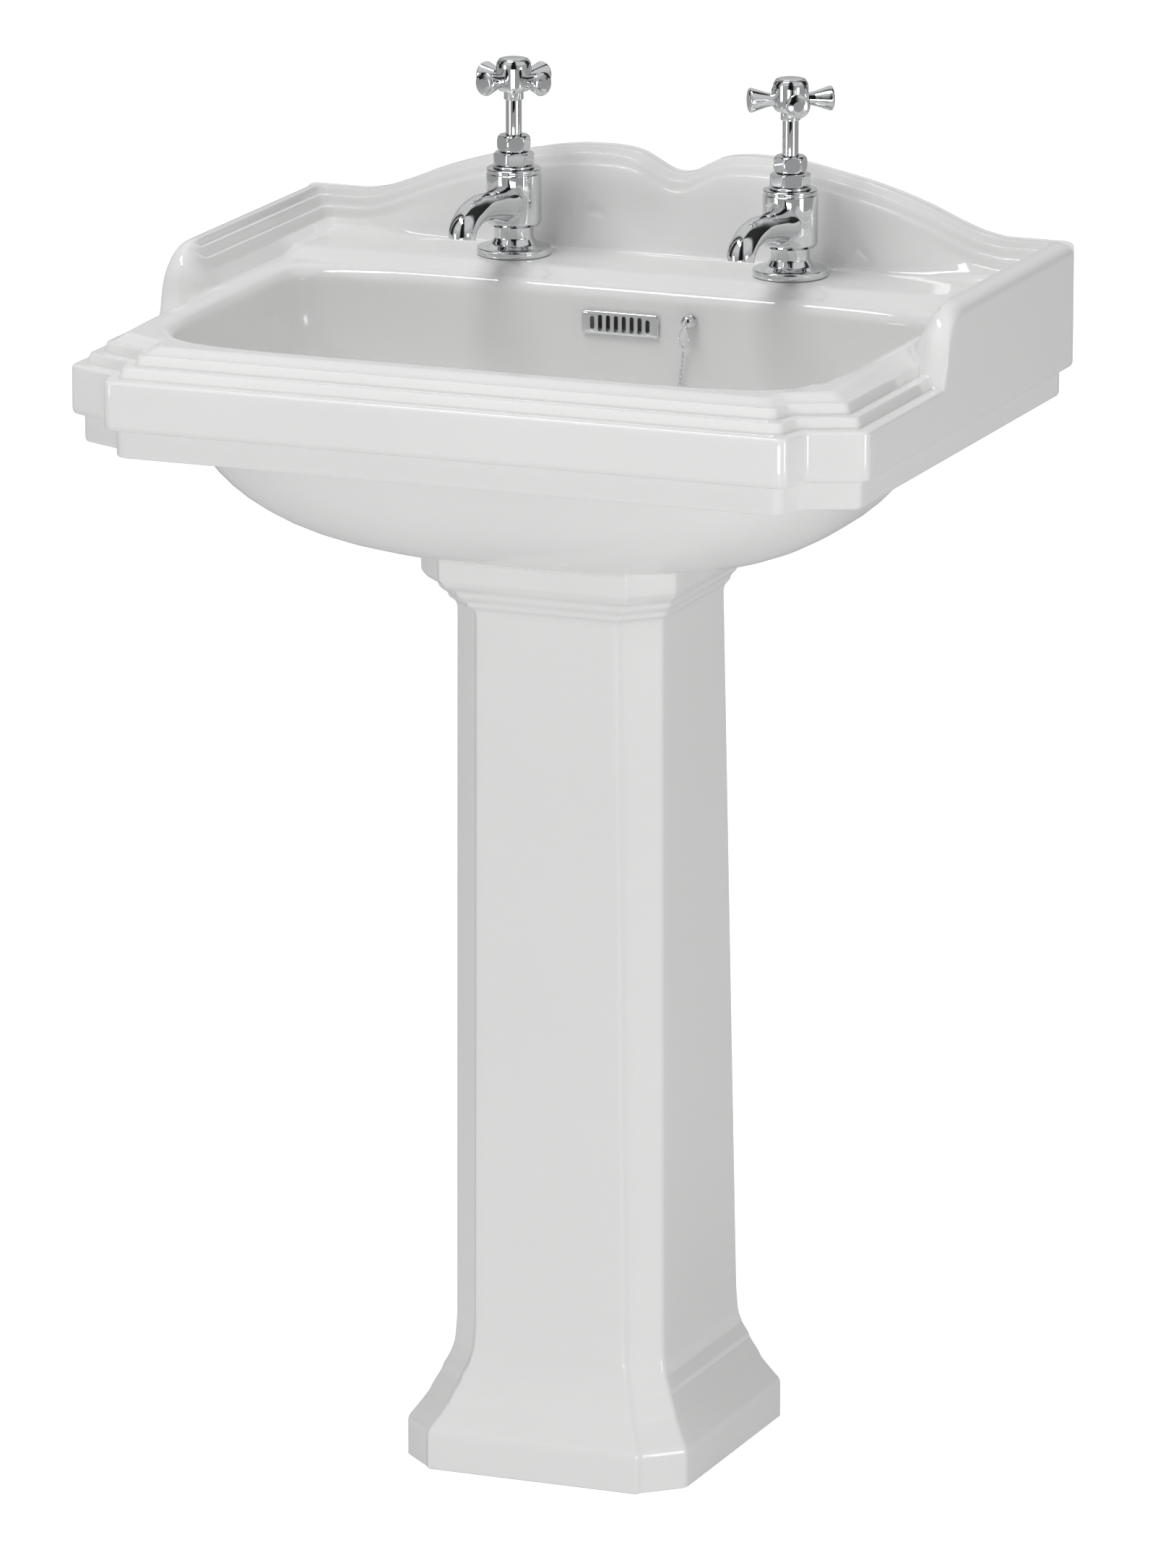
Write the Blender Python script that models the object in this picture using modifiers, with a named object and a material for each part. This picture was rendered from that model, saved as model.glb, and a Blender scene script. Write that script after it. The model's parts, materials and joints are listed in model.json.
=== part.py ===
"""A two-tap pedestal basin, built piece by piece as it comes apart on a bench.

Metres, +Z up, +X to the user's right, -Y to the front. The origin is on the floor, under the
middle of the basin's box. Heights in the basin are counted from its seat on the pedestal.
"""

import math

import bmesh
import bpy
import numpy as np
from mathutils import Matrix, Vector

# Clearances
GAP = 0.0003
RUNNING_GAP = 0.0003

# Basin, outside
BASIN_WIDTH = 0.560
BASIN_DEPTH = 0.435
PEDESTAL_HEIGHT = 0.630
SKIRT_BOTTOM = 0.0861
LOWER_BAND = 0.0192
UPPER_BAND = 0.0335
BAND_STEP = 0.0070
SKIRT_WALL = 0.0100
MOULDING_RISE = 0.0072
MOULDING_TREAD = 0.0095
RIM_FRONT = 0.1570
RIM_SIDE = 0.1605
DECK_BACK = 0.1655
DECK_EDGE = 0.1580
DECK_FALL = 0.0300
SHELL = 0.0140
DECK_THICKNESS = 0.0190

# Notched front corners, measured in from the front and side faces
NOTCH_START = 0.0420
NOTCH_RETURN = 0.0060
NOTCH_DEPTH = 0.0245
CHAMFER_DEPTH = 0.0410
CORNER_ROUND = 0.0060
EDGE_ROUND = 0.0060
HOLLOW_ROUND = 0.0080

# Upstand: low side walls and the shaped splashback behind the taps
EAR_TOP = 0.1905
EAR_LENGTH = 0.2140
EAR_NOSE = 0.0340
EAR_ROUND = 0.0100
BACK_ROUND = 0.0030
SPLASH_RISE = 0.0431
SPLASH_OUTLINE = (
    (0.000, 0.660), (0.040, 0.700), (0.070, 0.815), (0.110, 0.940), (0.160, 0.995),
    (0.220, 1.000), (0.300, 0.960), (0.390, 0.850), (0.500, 0.700), (0.600, 0.520),
    (0.700, 0.300), (0.780, 0.080), (0.850, 0.000), (1.000, 0.000),
)
STEP_DROPS = ((0.0030, 0.0050), (0.0075, 0.0070), (0.0120, 0.0070))
UPSTAND_FOOT = 0.0330

# Bowl
BOWL_HALF_WIDTH = 0.2330
BOWL_FRONT = 0.0500
BOWL_BACK = 0.1200
BOWL_FLOOR = 0.0130
BOWL_CORNER = 7.0
BOWL_SIDE = 3.8
LIP_ROUND = 0.0080
WASTE_BACK = 0.2000
BOSS_RADIUS = 0.0400
DECK_START = 0.0600
BOSS_DEPTH = 0.0260
SPINE_LENGTH = 0.0270
DUCT_BULGE = 0.0280
DUCT_RADIUS = 0.0065

# Pedestal
PEDESTAL_WALL = 0.0120
PLINTH_HEIGHT = 0.0270
FLARE_TOP = 0.0850
CAPITAL_NECK = 0.0420
SEAT_RISE = 0.0050
SEAT_GAP = 0.0008

# Taps
TAP_SPREAD = 0.2000
TAP_BACK = 0.0660
FLANGE_THICKNESS = 0.0054
NECK_RADIUS = 0.0133
BODY_RADIUS = 0.0187
FLANGE_RADIUS = BODY_RADIUS + 0.0065
BODY_BOTTOM = 0.0200
BODY_TOP = 0.0593
TAIL_RADIUS = 0.0103
TAP_HOLE = TAIL_RADIUS + 0.0032
TAIL_LENGTH = 0.0600
WATERWAY = 0.0062
CHAMBER = BODY_RADIUS - 0.0079
SEAT = 0.0310
SPOUT_REACH = 0.0915
SPOUT_OUTLET = 0.0262
SPOUT_RADIUS = 0.0098
BONNET_HEX = 0.0240
BONNET_HEIGHT = 0.0090
GLAND_HEX = 0.0200
GLAND_HEIGHT = 0.0110
SPINDLE_RADIUS = 0.0052
SPINDLE_SHOWN = 0.0240
HUB_RADIUS = 0.0120
HUB_HEIGHT = 0.0225
HANDLE_SPAN = 0.0590
ARM_ROOT = 0.0043
ARM_TIP = 0.0083
BACKNUT_SIZE = 0.0300
LEFT_HANDLE_TURN = 67.0
RIGHT_HANDLE_TURN = 31.0

# Waste, plug and overflow
WASTE_RADIUS = 0.0209
WASTE_HOLE = WASTE_RADIUS + 0.0016
WASTE_BORE = WASTE_RADIUS - 0.0044
WASTE_FLANGE = WASTE_RADIUS + 0.0111
WASTE_LENGTH = 0.0850
RECESS_DEPTH = 0.0040
PLUG_RADIUS = WASTE_BORE + 0.0040
PLUG_THICKNESS = 0.0120
EYE_HOLE = 0.0012
RING_RADIUS = 0.0045
RING_WIRE = 0.0006
GRILLE_WIDTH = 0.0550
GRILLE_HEIGHT = 0.0155
GRILLE_THICKNESS = 0.0015
GRILLE_BELOW_LIP = 0.0230
GRILLE_SLOTS = 8
SLOT_PITCH = 0.0057
SLOT_WIDTH = 0.0030
STAY_OFFSET = 0.0500
STAY_BELOW_LIP = 0.0170
STAY_BALL = 0.0050
STAY_SHANK = 0.0028
STAY_WALL = 0.0165
CHAIN_RADIUS = 0.0012

# Trap
TRAP_TUBE = 0.0160
TRAP_WALL = 0.0023
BOTTLE_RADIUS = 0.0300
BOTTLE_TOP_BELOW_WASTE = 0.0350
CASING_LENGTH = 0.0480
CUP_LENGTH = 0.0740
OUTLET_BELOW_CASING_TOP = 0.0200

WALL_Y = BASIN_DEPTH / 2
HALF_WIDTH = BASIN_WIDTH / 2
WASTE_Y = WALL_Y - WASTE_BACK
BAND_STEP_Z = SKIRT_BOTTOM + LOWER_BAND
BAND_TOP = BAND_STEP_Z + UPPER_BAND
LIP_Z = DECK_EDGE
BOWL_BOTTOM = BOWL_FLOOR

for old in list(bpy.data.objects):
    bpy.data.objects.remove(old)

parts = bpy.data.collections.new("pedestal_sink")
cutters = bpy.data.collections.new("cutters")
for collection in (parts, cutters):
    bpy.context.scene.collection.children.link(collection)


# Finishes -----------------------------------------------------------------------------------

def finish(name, colour, roughness, metallic=0.0):
    """A Principled material of one plain colour."""
    made = bpy.data.materials.new(name)
    made.use_nodes = True
    shader = made.node_tree.nodes["Principled BSDF"]
    shader.inputs["Base Color"].default_value = (*colour, 1.0)
    shader.inputs["Roughness"].default_value = roughness
    shader.inputs["Metallic"].default_value = metallic
    return made


GLAZE = finish("white_glaze", (0.86, 0.86, 0.85), 0.08)
CHROME = finish("chrome", (0.78, 0.79, 0.80), 0.06, 1.0)
BRASS = finish("brass", (0.72, 0.56, 0.28), 0.30, 1.0)
RUBBER = finish("black_rubber", (0.03, 0.03, 0.03), 0.70)
PLASTIC = finish("white_plastic", (0.80, 0.80, 0.79), 0.35)


# Modelling helpers --------------------------------------------------------------------------

def add(name, mesh, material, place=(0, 0, 0), collection=parts):
    """A new object of this mesh, in its collection and with its material."""
    made = bpy.data.objects.new(name, mesh)
    made.location = place
    collection.objects.link(made)
    if material:
        mesh.materials.append(material)
    return made


def smooth(obj, angle=40):
    """Smooth shading with the edges sharper than the angle left crisp."""
    obj.data.shade_smooth()
    obj.data.set_sharp_from_angle(angle=math.radians(angle))
    return obj


def as_cutter(obj):
    """Takes an object out of the model, so that it only cuts."""
    for holder in list(obj.users_collection):
        holder.objects.unlink(obj)
    cutters.objects.link(obj)
    obj.hide_render = True
    obj.display_type = "WIRE"
    return obj


def combine(target, other, operation="DIFFERENCE"):
    """An exact Boolean of the target with another object, which becomes a helper."""
    step = target.modifiers.new(f"{operation.lower()}_{other.name}", "BOOLEAN")
    step.operation = operation
    step.solver = "EXACT"
    step.object = as_cutter(other)
    return target


def turned(name, profile, material, place=(0, 0, 0), steps=24, ring=False):
    """A profile of (radius, height) points turned about Z. It runs down the outer side."""
    mesh = bpy.data.meshes.new(name)
    count = len(profile)
    edges = [(i, i + 1) for i in range(count - 1)] + ([(count - 1, 0)] if ring else [])
    mesh.from_pydata([(radius, 0, height) for radius, height in profile], edges, [])
    made = add(name, mesh, material, place)
    screw = made.modifiers.new("turn", "SCREW")
    screw.steps = screw.render_steps = steps
    screw.use_merge_vertices = True
    screw.merge_threshold = 0.00001
    screw.use_smooth_shade = True
    return made


def bored(name, radius, low, high, place=(0, 0, 0), steps=24):
    """A plain cylinder used as a cutter, from one height to another."""
    profile = [(0, high), (radius, high), (radius, low), (0, low)]
    return turned(name, profile, None, place, steps)


def prism(name, sides, across, low, high, material, place=(0, 0, 0)):
    """A nut blank: a regular prism, by its size across the flats."""
    work = bmesh.new()
    radius = across / 2 / math.cos(math.pi / sides)
    bmesh.ops.create_cone(
        work, cap_ends=True, segments=sides, radius1=radius, radius2=radius, depth=high - low
    )
    bmesh.ops.translate(work, verts=work.verts, vec=(0, 0, (low + high) / 2))
    mesh = bpy.data.meshes.new(name)
    work.to_mesh(mesh)
    work.free()
    return add(name, mesh, material, place)


def block(name, size, material, place=(0, 0, 0)):
    """A box of this size about its place."""
    work = bmesh.new()
    bmesh.ops.create_cube(work, size=1.0)
    bmesh.ops.scale(work, verts=work.verts, vec=size)
    mesh = bpy.data.meshes.new(name)
    work.to_mesh(mesh)
    work.free()
    return add(name, mesh, material, place)


def through(points, count):
    """Points read from a smooth curve through a route's own points, evenly along its length."""
    route = [Vector(p) for p in points]
    ends = [2 * route[0] - route[1], *route, 2 * route[-1] - route[-2]]
    fine = []
    for a, b, c, d in zip(ends, ends[1:], ends[2:], ends[3:]):
        for t in np.linspace(0, 1, 40, endpoint=False):
            fine.append(
                0.5 * (2 * b + (c - a) * t + (2 * a - 5 * b + 4 * c - d) * t**2
                       + (3 * b - a - 3 * c + d) * t**3)
            )
    fine = np.array([*fine, route[-1]])
    along = np.concatenate([[0], np.cumsum(np.linalg.norm(np.diff(fine, axis=0), axis=1))])
    wanted = np.linspace(0, along[-1], count)
    return [tuple(np.interp(s, along, fine[:, k]) for k in range(3)) for s in wanted]


def tube(name, points, radius, material, place=(0, 0, 0), radii=None, cyclic=False, sides=2):
    """A round bar along the points: a poly curve with a bevel and closed ends."""
    curve = bpy.data.curves.new(name, "CURVE")
    curve.dimensions = "3D"
    curve.bevel_depth = radius
    curve.bevel_resolution = sides
    curve.use_fill_caps = True
    line = curve.splines.new("POLY")
    line.points.add(len(points) - 1)
    line.use_cyclic_u = cyclic
    for i, point in enumerate(points):
        line.points[i].co = (*point, 1)
        line.points[i].radius = radii[i] if radii else 1.0
    made = bpy.data.objects.new(name, curve)
    made.location = place
    parts.objects.link(made)
    curve.materials.append(material)
    return made


def as_mesh(curve_object):
    """The same bar as a closed mesh, so that it can be joined or cut."""
    bpy.context.view_layer.update()
    graph = bpy.context.evaluated_depsgraph_get()
    mesh = bpy.data.meshes.new_from_object(curve_object.evaluated_get(graph))
    work = bmesh.new()
    work.from_mesh(mesh)
    bmesh.ops.remove_doubles(work, verts=work.verts, dist=0.000001)
    bmesh.ops.recalc_face_normals(work, faces=work.faces)
    work.to_mesh(mesh)
    work.free()
    made = bpy.data.objects.new(curve_object.name, mesh)
    made.matrix_world = curve_object.matrix_world
    parts.objects.link(made)
    name = curve_object.name
    bpy.data.objects.remove(curve_object)
    made.name = name
    return made


def loft(name, rings, material, place=(0, 0, 0), closed=True, caps=False):
    """Faces between rings of equal count; closed joins the last ring to the first."""
    work = bmesh.new()
    rows = [[work.verts.new(point) for point in ring] for ring in rings]
    count = len(rows[0])
    pairs = list(zip(rows, rows[1:] + ([rows[0]] if closed else rows[:0])))
    for low, high in pairs:
        for i in range(count):
            j = (i + 1) % count
            work.faces.new((low[i], low[j], high[j], high[i]))
    if caps:
        for row in (rows[0], rows[-1]):
            for i in range(count // 2 - 1):
                work.faces.new((row[i], row[i + 1], row[count - 2 - i], row[count - 1 - i]))
    bmesh.ops.recalc_face_normals(work, faces=work.faces)
    if work.calc_volume(signed=True) < 0:
        bmesh.ops.reverse_faces(work, faces=work.faces)
    mesh = bpy.data.meshes.new(name)
    work.to_mesh(mesh)
    work.free()
    return smooth(add(name, mesh, material, place), 50)


# Basin: one plan outline, and one height for each point of the top -------------------------

def smoothstep(x):
    x = np.clip(x, 0, 1)
    return x * x * (3 - 2 * x)


def rounded_path(corners, radii, arc_points):
    """Arc points at each inner corner of a polyline, one array of points for each corner."""
    arcs = []
    for k in range(1, len(corners) - 1):
        before, corner, after = (np.array(corners[k + s], float) for s in (-1, 0, 1))
        a = (before - corner) / np.linalg.norm(before - corner)
        b = (after - corner) / np.linalg.norm(after - corner)
        half = math.acos(np.clip(a @ b, -1, 1)) / 2
        reach = radii[k - 1] / math.tan(half)
        centre = corner + (a + b) / np.linalg.norm(a + b) * radii[k - 1] / math.sin(half)
        start, end = corner + a * reach - centre, corner + b * reach - centre
        turn = math.atan2(start[0] * end[1] - start[1] * end[0], start @ end)
        angles = np.linspace(0, turn, arc_points)
        arcs.append(np.array([
            centre + [start[0] * math.cos(t) - start[1] * math.sin(t),
                      start[0] * math.sin(t) + start[1] * math.cos(t)] for t in angles
        ]))
    return arcs


def shifted(a, b, inset):
    """The line through a and b moved to its left by the inset, as a point and a direction."""
    along = (np.array(b) - a) / np.linalg.norm(np.array(b) - a)
    return np.array(a) + inset * np.array([-along[1], along[0]]), along


def crossing(first, second):
    (p, d), (q, e) = first, second
    s = np.linalg.solve(np.array([d, -e]).T, q - p)[0]
    return p + s * d


BACK_STOPS = np.array([0.04, 0.075, 0.12, 0.18, 0.27, 0.40, 0.55, 0.70, 0.84])
NOSE_STOPS = EAR_LENGTH + EAR_NOSE * np.array([-0.25, 0.0, 0.3, 0.55, 0.75, 0.9, 1.05, 1.2])
SIDE_START, SIDE_END = CORNER_ROUND, BASIN_DEPTH - CHAMFER_DEPTH - 0.0038
SIDE_STOPS = (np.concatenate([[0.070, 0.145], NOSE_STOPS, [0.300, 0.345]]) - SIDE_START) / (
    SIDE_END - SIDE_START)
FRONT_STOPS = np.array([0.12, 0.4, 0.7])


def outline(inset=0.0):
    """The basin's plan, moved in by the inset, as points round from the middle of the back.

    Seen from the wall (y = 0) the right half runs along the back, down the side, over the
    chamfer, through the notch and along the front; the left half mirrors it.
    """
    w, d = HALF_WIDTH, BASIN_DEPTH
    raw = [
        (0, 0), (w, 0), (w, -(d - CHAMFER_DEPTH)), (w - NOTCH_START + NOTCH_RETURN, -(d - NOTCH_DEPTH)),
        (w - NOTCH_START, -d), (0, -d),
    ]
    lines = [shifted(np.array(b), np.array(a), inset) for a, b in zip(raw, raw[1:])]
    inner = [crossing(m, n) for m, n in zip(lines, lines[1:])]
    back, front = np.array([0, inner[0][1]]), np.array([0, inner[-1][1]])
    radii = (CORNER_ROUND, EDGE_ROUND, HOLLOW_ROUND, EDGE_ROUND)
    arcs = rounded_path([back, *inner, front], radii, 3)
    right = [back[None]]
    right.append(back + (arcs[0][0] - back) * BACK_STOPS[:, None] / BACK_STOPS[-1] * 0.97)
    right.append(arcs[0])
    right.append(arcs[0][-1] + (arcs[1][0] - arcs[0][-1]) * SIDE_STOPS[:, None])
    right += [arcs[1], arcs[2], arcs[3]]
    right.append(arcs[3][-1] + (front - arcs[3][-1]) * FRONT_STOPS[:, None])
    right = np.concatenate([*right, front[None]])
    left = right[-2:0:-1] * [-1, 1]
    return np.concatenate([right, left])


def contour(x):
    """The upstand's top: the splashback's outline over the back, level along the ears."""
    share, rise = np.array(SPLASH_OUTLINE).T
    return EAR_TOP + SPLASH_RISE * np.interp(np.abs(x) / HALF_WIDTH, share, rise)


def deck_level(y, at_back):
    """The plain top inside the mouldings: level at the front and sides, falling from the back."""
    rim = RIM_FRONT + (RIM_SIDE - RIM_FRONT) * smoothstep((y + BASIN_DEPTH) / 0.12)
    fall = DECK_EDGE + (DECK_BACK - DECK_EDGE) * smoothstep((y + BOWL_BACK) / DECK_FALL)
    return np.where(at_back, fall, rim)


def rim_height(inset, y):
    """Front and side rim: a band edge, two mouldings and a slow rise to the plain top."""
    top = deck_level(y, y > -BOWL_BACK)
    rise = MOULDING_RISE * (smoothstep((inset - 0.0085) / 0.0025)
                            + smoothstep((inset - 0.0085 - MOULDING_TREAD) / 0.0025))
    crown = (top - BAND_TOP - 2 * MOULDING_RISE) * smoothstep((inset - 0.0215) / 0.0120)
    edge = 0.0025 - np.sqrt(np.maximum(0.0025**2 - np.maximum(0.0025 - inset, 0)**2, 0))
    return BAND_TOP + rise + crown - edge


def upstand_height(inset, x, y):
    """The ears and splashback: an outer round, a land, three fillets and a sloping face.

    The nose at an ear's front end carries the same section round the end, smoothed to a
    plain quarter round where it faces the front.
    """
    top = contour(x)
    over = np.maximum(-y - EAR_LENGTH, 0) * (0.021 / EAR_NOSE)
    inward = np.maximum(inset - EAR_ROUND, 0)
    away = np.hypot(inward, over)
    steps = sum(drop * smoothstep((away - at) / 0.0020) for at, drop in STEP_DROPS)
    below = top - sum(drop for _, drop in STEP_DROPS) - deck_level(y, y > -BOWL_BACK)
    face = below * np.maximum(away - 0.0135, 0) / (UPSTAND_FOOT - EAR_ROUND - 0.0135)
    nose = 0.030 * (1 - np.sqrt(np.maximum(1 - (away / 0.021)**2, 0)))
    nose = nose + 4.0 * np.maximum(away - 0.021, 0)
    share = over**2 / np.maximum(away**2, 1e-12)
    edge_round = np.where(y < -0.004, EAR_ROUND, BACK_ROUND)
    depth = np.maximum(edge_round - inset, 0)
    edge = edge_round - np.sqrt(np.maximum(edge_round**2 - depth**2, 0))
    return top - edge - (1 - share) * (steps + face) - share * nose


def top_height(inset, x, y):
    """The higher of the rim and the upstand, joined by a small hollow round."""
    a, b, soft = rim_height(inset, y), upstand_height(inset, x, y), 0.004
    blend = np.clip(0.5 + (a - b) / (2 * soft), 0, 1)
    return b + (a - b) * blend + soft * blend * (1 - blend)


def bowl_radius(dx, dy, grow=0.0, corner=BOWL_CORNER):
    """How far out a point is from the waste, as a share of the bowl's rounded-box plan."""
    wide = BOWL_HALF_WIDTH + grow
    front = BASIN_DEPTH - BOWL_FRONT - WASTE_BACK + grow
    back = WASTE_BACK - BOWL_BACK + grow
    deep = np.where(dy < 0, front, back)
    return (np.abs(dx / wide)**corner + np.abs(dy / deep)**corner)**(1 / corner)


def bulge(dx):
    """The thicker back wall that holds the overflow's duct."""
    return DUCT_BULGE * smoothstep((0.060 - np.abs(dx)) / 0.030)


def bowl_ring(plan, share, grow, corner=BOWL_CORNER):
    """The plan of the bowl at this share of its size, at the same stations as the outline."""
    dx, dy = plan[:, 0] * BOWL_HALF_WIDTH / HALF_WIDTH, plan[:, 1] + WASTE_BACK
    dy = np.where(dy < 0, dy * (BASIN_DEPTH - BOWL_FRONT - WASTE_BACK) / (BASIN_DEPTH - WASTE_BACK),
                  dy * (WASTE_BACK - BOWL_BACK) / WASTE_BACK)
    scale = share / bowl_radius(dx, dy, grow, corner)
    return np.stack([dx * scale, dy * scale - WASTE_BACK], axis=1)


def round_ring(plan, radius, tail=0.0):
    """A circle about the waste, at the outline's stations, drawn out to the back by the tail."""
    ring = bowl_ring(plan, 1.0, 0.0) + [0, WASTE_BACK]
    ring = ring / np.linalg.norm(ring, axis=1)[:, None]
    reach = radius + tail * np.maximum(ring[:, 1], 0)**3
    return ring * reach[:, None] - [0, WASTE_BACK]


def dish(share, top, bottom):
    """A bowl's section: steep at its side and nearly flat at its floor."""
    return top - (top - bottom) * np.sqrt(np.maximum(1 - share**BOWL_SIDE, 0))


def bowl_wall(height):
    """Where the bowl's back wall is, from the wall of the room, at this height."""
    share = (LIP_Z - LIP_ROUND - height) / (LIP_Z - LIP_ROUND - BOWL_BOTTOM)
    return (WASTE_BACK - BOWL_BACK) * (1 - share**2)**(1 / BOWL_SIDE) - WASTE_BACK


UNDER_TOP = LIP_Z - 0.0220


def under_corner(share):
    """The bowl's outside is round at its foot and squarer towards the rim."""
    return 2 + 2 * share**2


def underside(x, y):
    """Height of the bowl's outside, which the pedestal's top follows."""
    share = bowl_radius(x, y + WASTE_BACK, SHELL, under_corner(1.0))
    for _ in range(5):
        share = bowl_radius(x, y + WASTE_BACK, SHELL, under_corner(share))
    return dish(np.minimum(share, 1.0), UNDER_TOP, 0.0)


def level(plan, height):
    return np.column_stack([plan, np.full(len(plan), height) if np.isscalar(height) else height])


def basin():
    edge, inner = outline(0.0), outline(0.035)
    rings = [
        level(round_ring(edge, WASTE_HOLE), -BOSS_DEPTH),
        level(round_ring(edge, BOSS_RADIUS - 0.004, SPINE_LENGTH), -BOSS_DEPTH),
        level(round_ring(edge, BOSS_RADIUS, SPINE_LENGTH), -BOSS_DEPTH + 0.004),
        level(round_ring(edge, BOSS_RADIUS + 0.0005, SPINE_LENGTH), -0.0001),
    ]
    for share in (0.46, 0.62, 0.76, 0.87, 0.95, 1.0):
        plan = bowl_ring(edge, share, SHELL, under_corner(share))
        height = dish(share, UNDER_TOP, 0.0)
        behind = (plan[:, 1] + WASTE_BACK > 0)
        plan[:, 1] += behind * bulge(plan[:, 0])
        rings.append(level(plan, height))
    under = np.where(inner[:, 1] > -BOWL_BACK, DECK_BACK, RIM_SIDE) - DECK_THICKNESS
    rings.append(level(plan + (inner - plan) * DECK_START, under))
    rings.append(level(outline(BAND_STEP + SKIRT_WALL + 0.003), under))
    rings.append(level(outline(BAND_STEP + SKIRT_WALL), SKIRT_BOTTOM + 0.001))
    rings.append(level(outline(BAND_STEP + 0.001), SKIRT_BOTTOM))
    rings.append(level(outline(BAND_STEP), SKIRT_BOTTOM + 0.001))
    rings.append(level(outline(BAND_STEP), BAND_STEP_Z))
    rings.append(level(edge, BAND_STEP_Z + 0.0003))
    for inset in (0.0, 0.003, 0.0085, 0.0115, 0.0150, 0.0180, 0.0205, 0.0235, 0.0280, 0.0350):
        plan = edge + (inner - edge) * (inset / 0.035)
        rings.append(level(plan, top_height(inset, plan[:, 0], plan[:, 1])))
    lip = bowl_ring(edge, 1.0, LIP_ROUND)
    lip_height = deck_level(lip[:, 1], lip[:, 1] > -BOWL_BACK - 0.03)
    rings.append(level(lip, lip_height))
    rings.append(level(bowl_ring(edge, 1.0, LIP_ROUND * 0.3), lip_height - LIP_ROUND * 0.3))
    for share in (1.0, 0.985, 0.94, 0.86, 0.74, 0.58, 0.40):
        plan = bowl_ring(edge, share, 0.0, BOWL_CORNER - 3.0 * (1 - share))
        top = lip_height - LIP_ROUND
        rings.append(level(plan, dish(share, top, BOWL_BOTTOM)))
    rings.append(level(round_ring(edge, WASTE_FLANGE + 0.0015), BOWL_BOTTOM))
    rings.append(level(round_ring(edge, WASTE_FLANGE + 0.0010), BOWL_BOTTOM - RECESS_DEPTH))
    rings.append(level(round_ring(edge, WASTE_HOLE), BOWL_BOTTOM - RECESS_DEPTH))
    made = loft("basin", rings, GLAZE, (0, WALL_Y, PEDESTAL_HEIGHT))
    for side in (-1, 1):
        spot = (side * TAP_SPREAD / 2, WALL_Y - TAP_BACK, PEDESTAL_HEIGHT)
        combine(made, bored(f"tap_hole_{side + 2}", TAP_HOLE, 0.120, 0.200, spot))
    duct_route = [
        (0, -BOWL_BACK + 0.012, LIP_Z - GRILLE_BELOW_LIP),
        (0, -BOWL_BACK + 0.017, LIP_Z - GRILLE_BELOW_LIP - 0.020),
        (0, -BOWL_BACK + 0.012, 0.070), (0, -BOWL_BACK + 0.004, 0.040),
        (0, -BOWL_BACK - 0.014, 0.008), (0, -BOWL_BACK - 0.035, -0.008),
        (0, -WASTE_BACK + 0.010, -0.0105),
    ]
    duct = as_mesh(tube("overflow_duct", through(duct_route, 22), DUCT_RADIUS, GLAZE,
                        (0, WALL_Y, PEDESTAL_HEIGHT), sides=2))
    combine(made, duct)
    mouth = block("overflow_mouth", (GRILLE_WIDTH - 0.010, 0.026, GRILLE_HEIGHT - 0.005), None,
                  (0, WALL_Y - BOWL_BACK, PEDESTAL_HEIGHT + LIP_Z - GRILLE_BELOW_LIP))
    combine(made, mouth)
    spot = (STAY_OFFSET, WALL_Y - BOWL_BACK, PEDESTAL_HEIGHT + LIP_Z - STAY_BELOW_LIP)
    for name, radius, low, high in (
        ("stay_hole", STAY_SHANK + 0.0006, -0.030, 0.030), ("stay_pocket", 0.0090, -0.050, -STAY_WALL)
    ):
        hole = bored(name, radius, low, high, spot, 12)
        hole.rotation_euler = (math.pi / 2, 0, 0)
        combine(made, hole)
    return made


# Pedestal: one open section, changed with height -------------------------------------------

# half width of the front panel, depth of the front face, half width, start of the chamfer and
# depth of the back edge, each from the wall
COLUMN_TOP = np.array([0.0500, 0.2531, 0.0739, 0.2302, 0.1190])
COLUMN_FOOT = np.array([0.0537, 0.2480, 0.0755, 0.2305, 0.0950])
PLINTH = np.array([0.0758, 0.2797, 0.1019, 0.2535, 0.0787])
CAPITAL = np.array([0.0670, 0.2776, 0.0916, 0.2508, 0.1140])
PEDESTAL_SIDE_STOPS = np.array([0.0, 0.30, 0.45, 0.62, 0.80])
PEDESTAL_FRONT_STOPS = np.array([0.25, 0.50, 0.75])


def pedestal_path(sizes, inset=0.0):
    """The section's right half, from the back edge round the chamfer and notch to the front."""
    panel, front, half, chamfer, back = sizes
    notch = 0.0045
    raw = [(half, -back), (half, -chamfer), (panel + 0.003, -front + notch), (panel, -front), (0, -front)]
    lines = [shifted(np.array(b), np.array(a), inset) for a, b in zip(raw, raw[1:])]
    inner = [crossing(m, n) for m, n in zip(lines, lines[1:])]
    start, end = np.array([inner[0][0], -back]), np.array([0, inner[-1][1]])
    arcs = rounded_path([start, *inner, end], (0.004, 0.003, 0.0015), 3)
    side = start + (arcs[0][0] - start) * PEDESTAL_SIDE_STOPS[:, None]
    front = arcs[-1][-1] + (end - arcs[-1][-1]) * PEDESTAL_FRONT_STOPS[:, None]
    return np.concatenate([side, *arcs, front])


def pedestal_section(sizes):
    """The whole open section: out along the outside and back along the inside."""
    right, inside = pedestal_path(sizes), pedestal_path(sizes, PEDESTAL_WALL)
    outer = np.concatenate([right, right[::-1] * [-1, 1]])
    return np.concatenate([outer, np.concatenate([inside, inside[::-1] * [-1, 1]])[::-1]])


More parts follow.
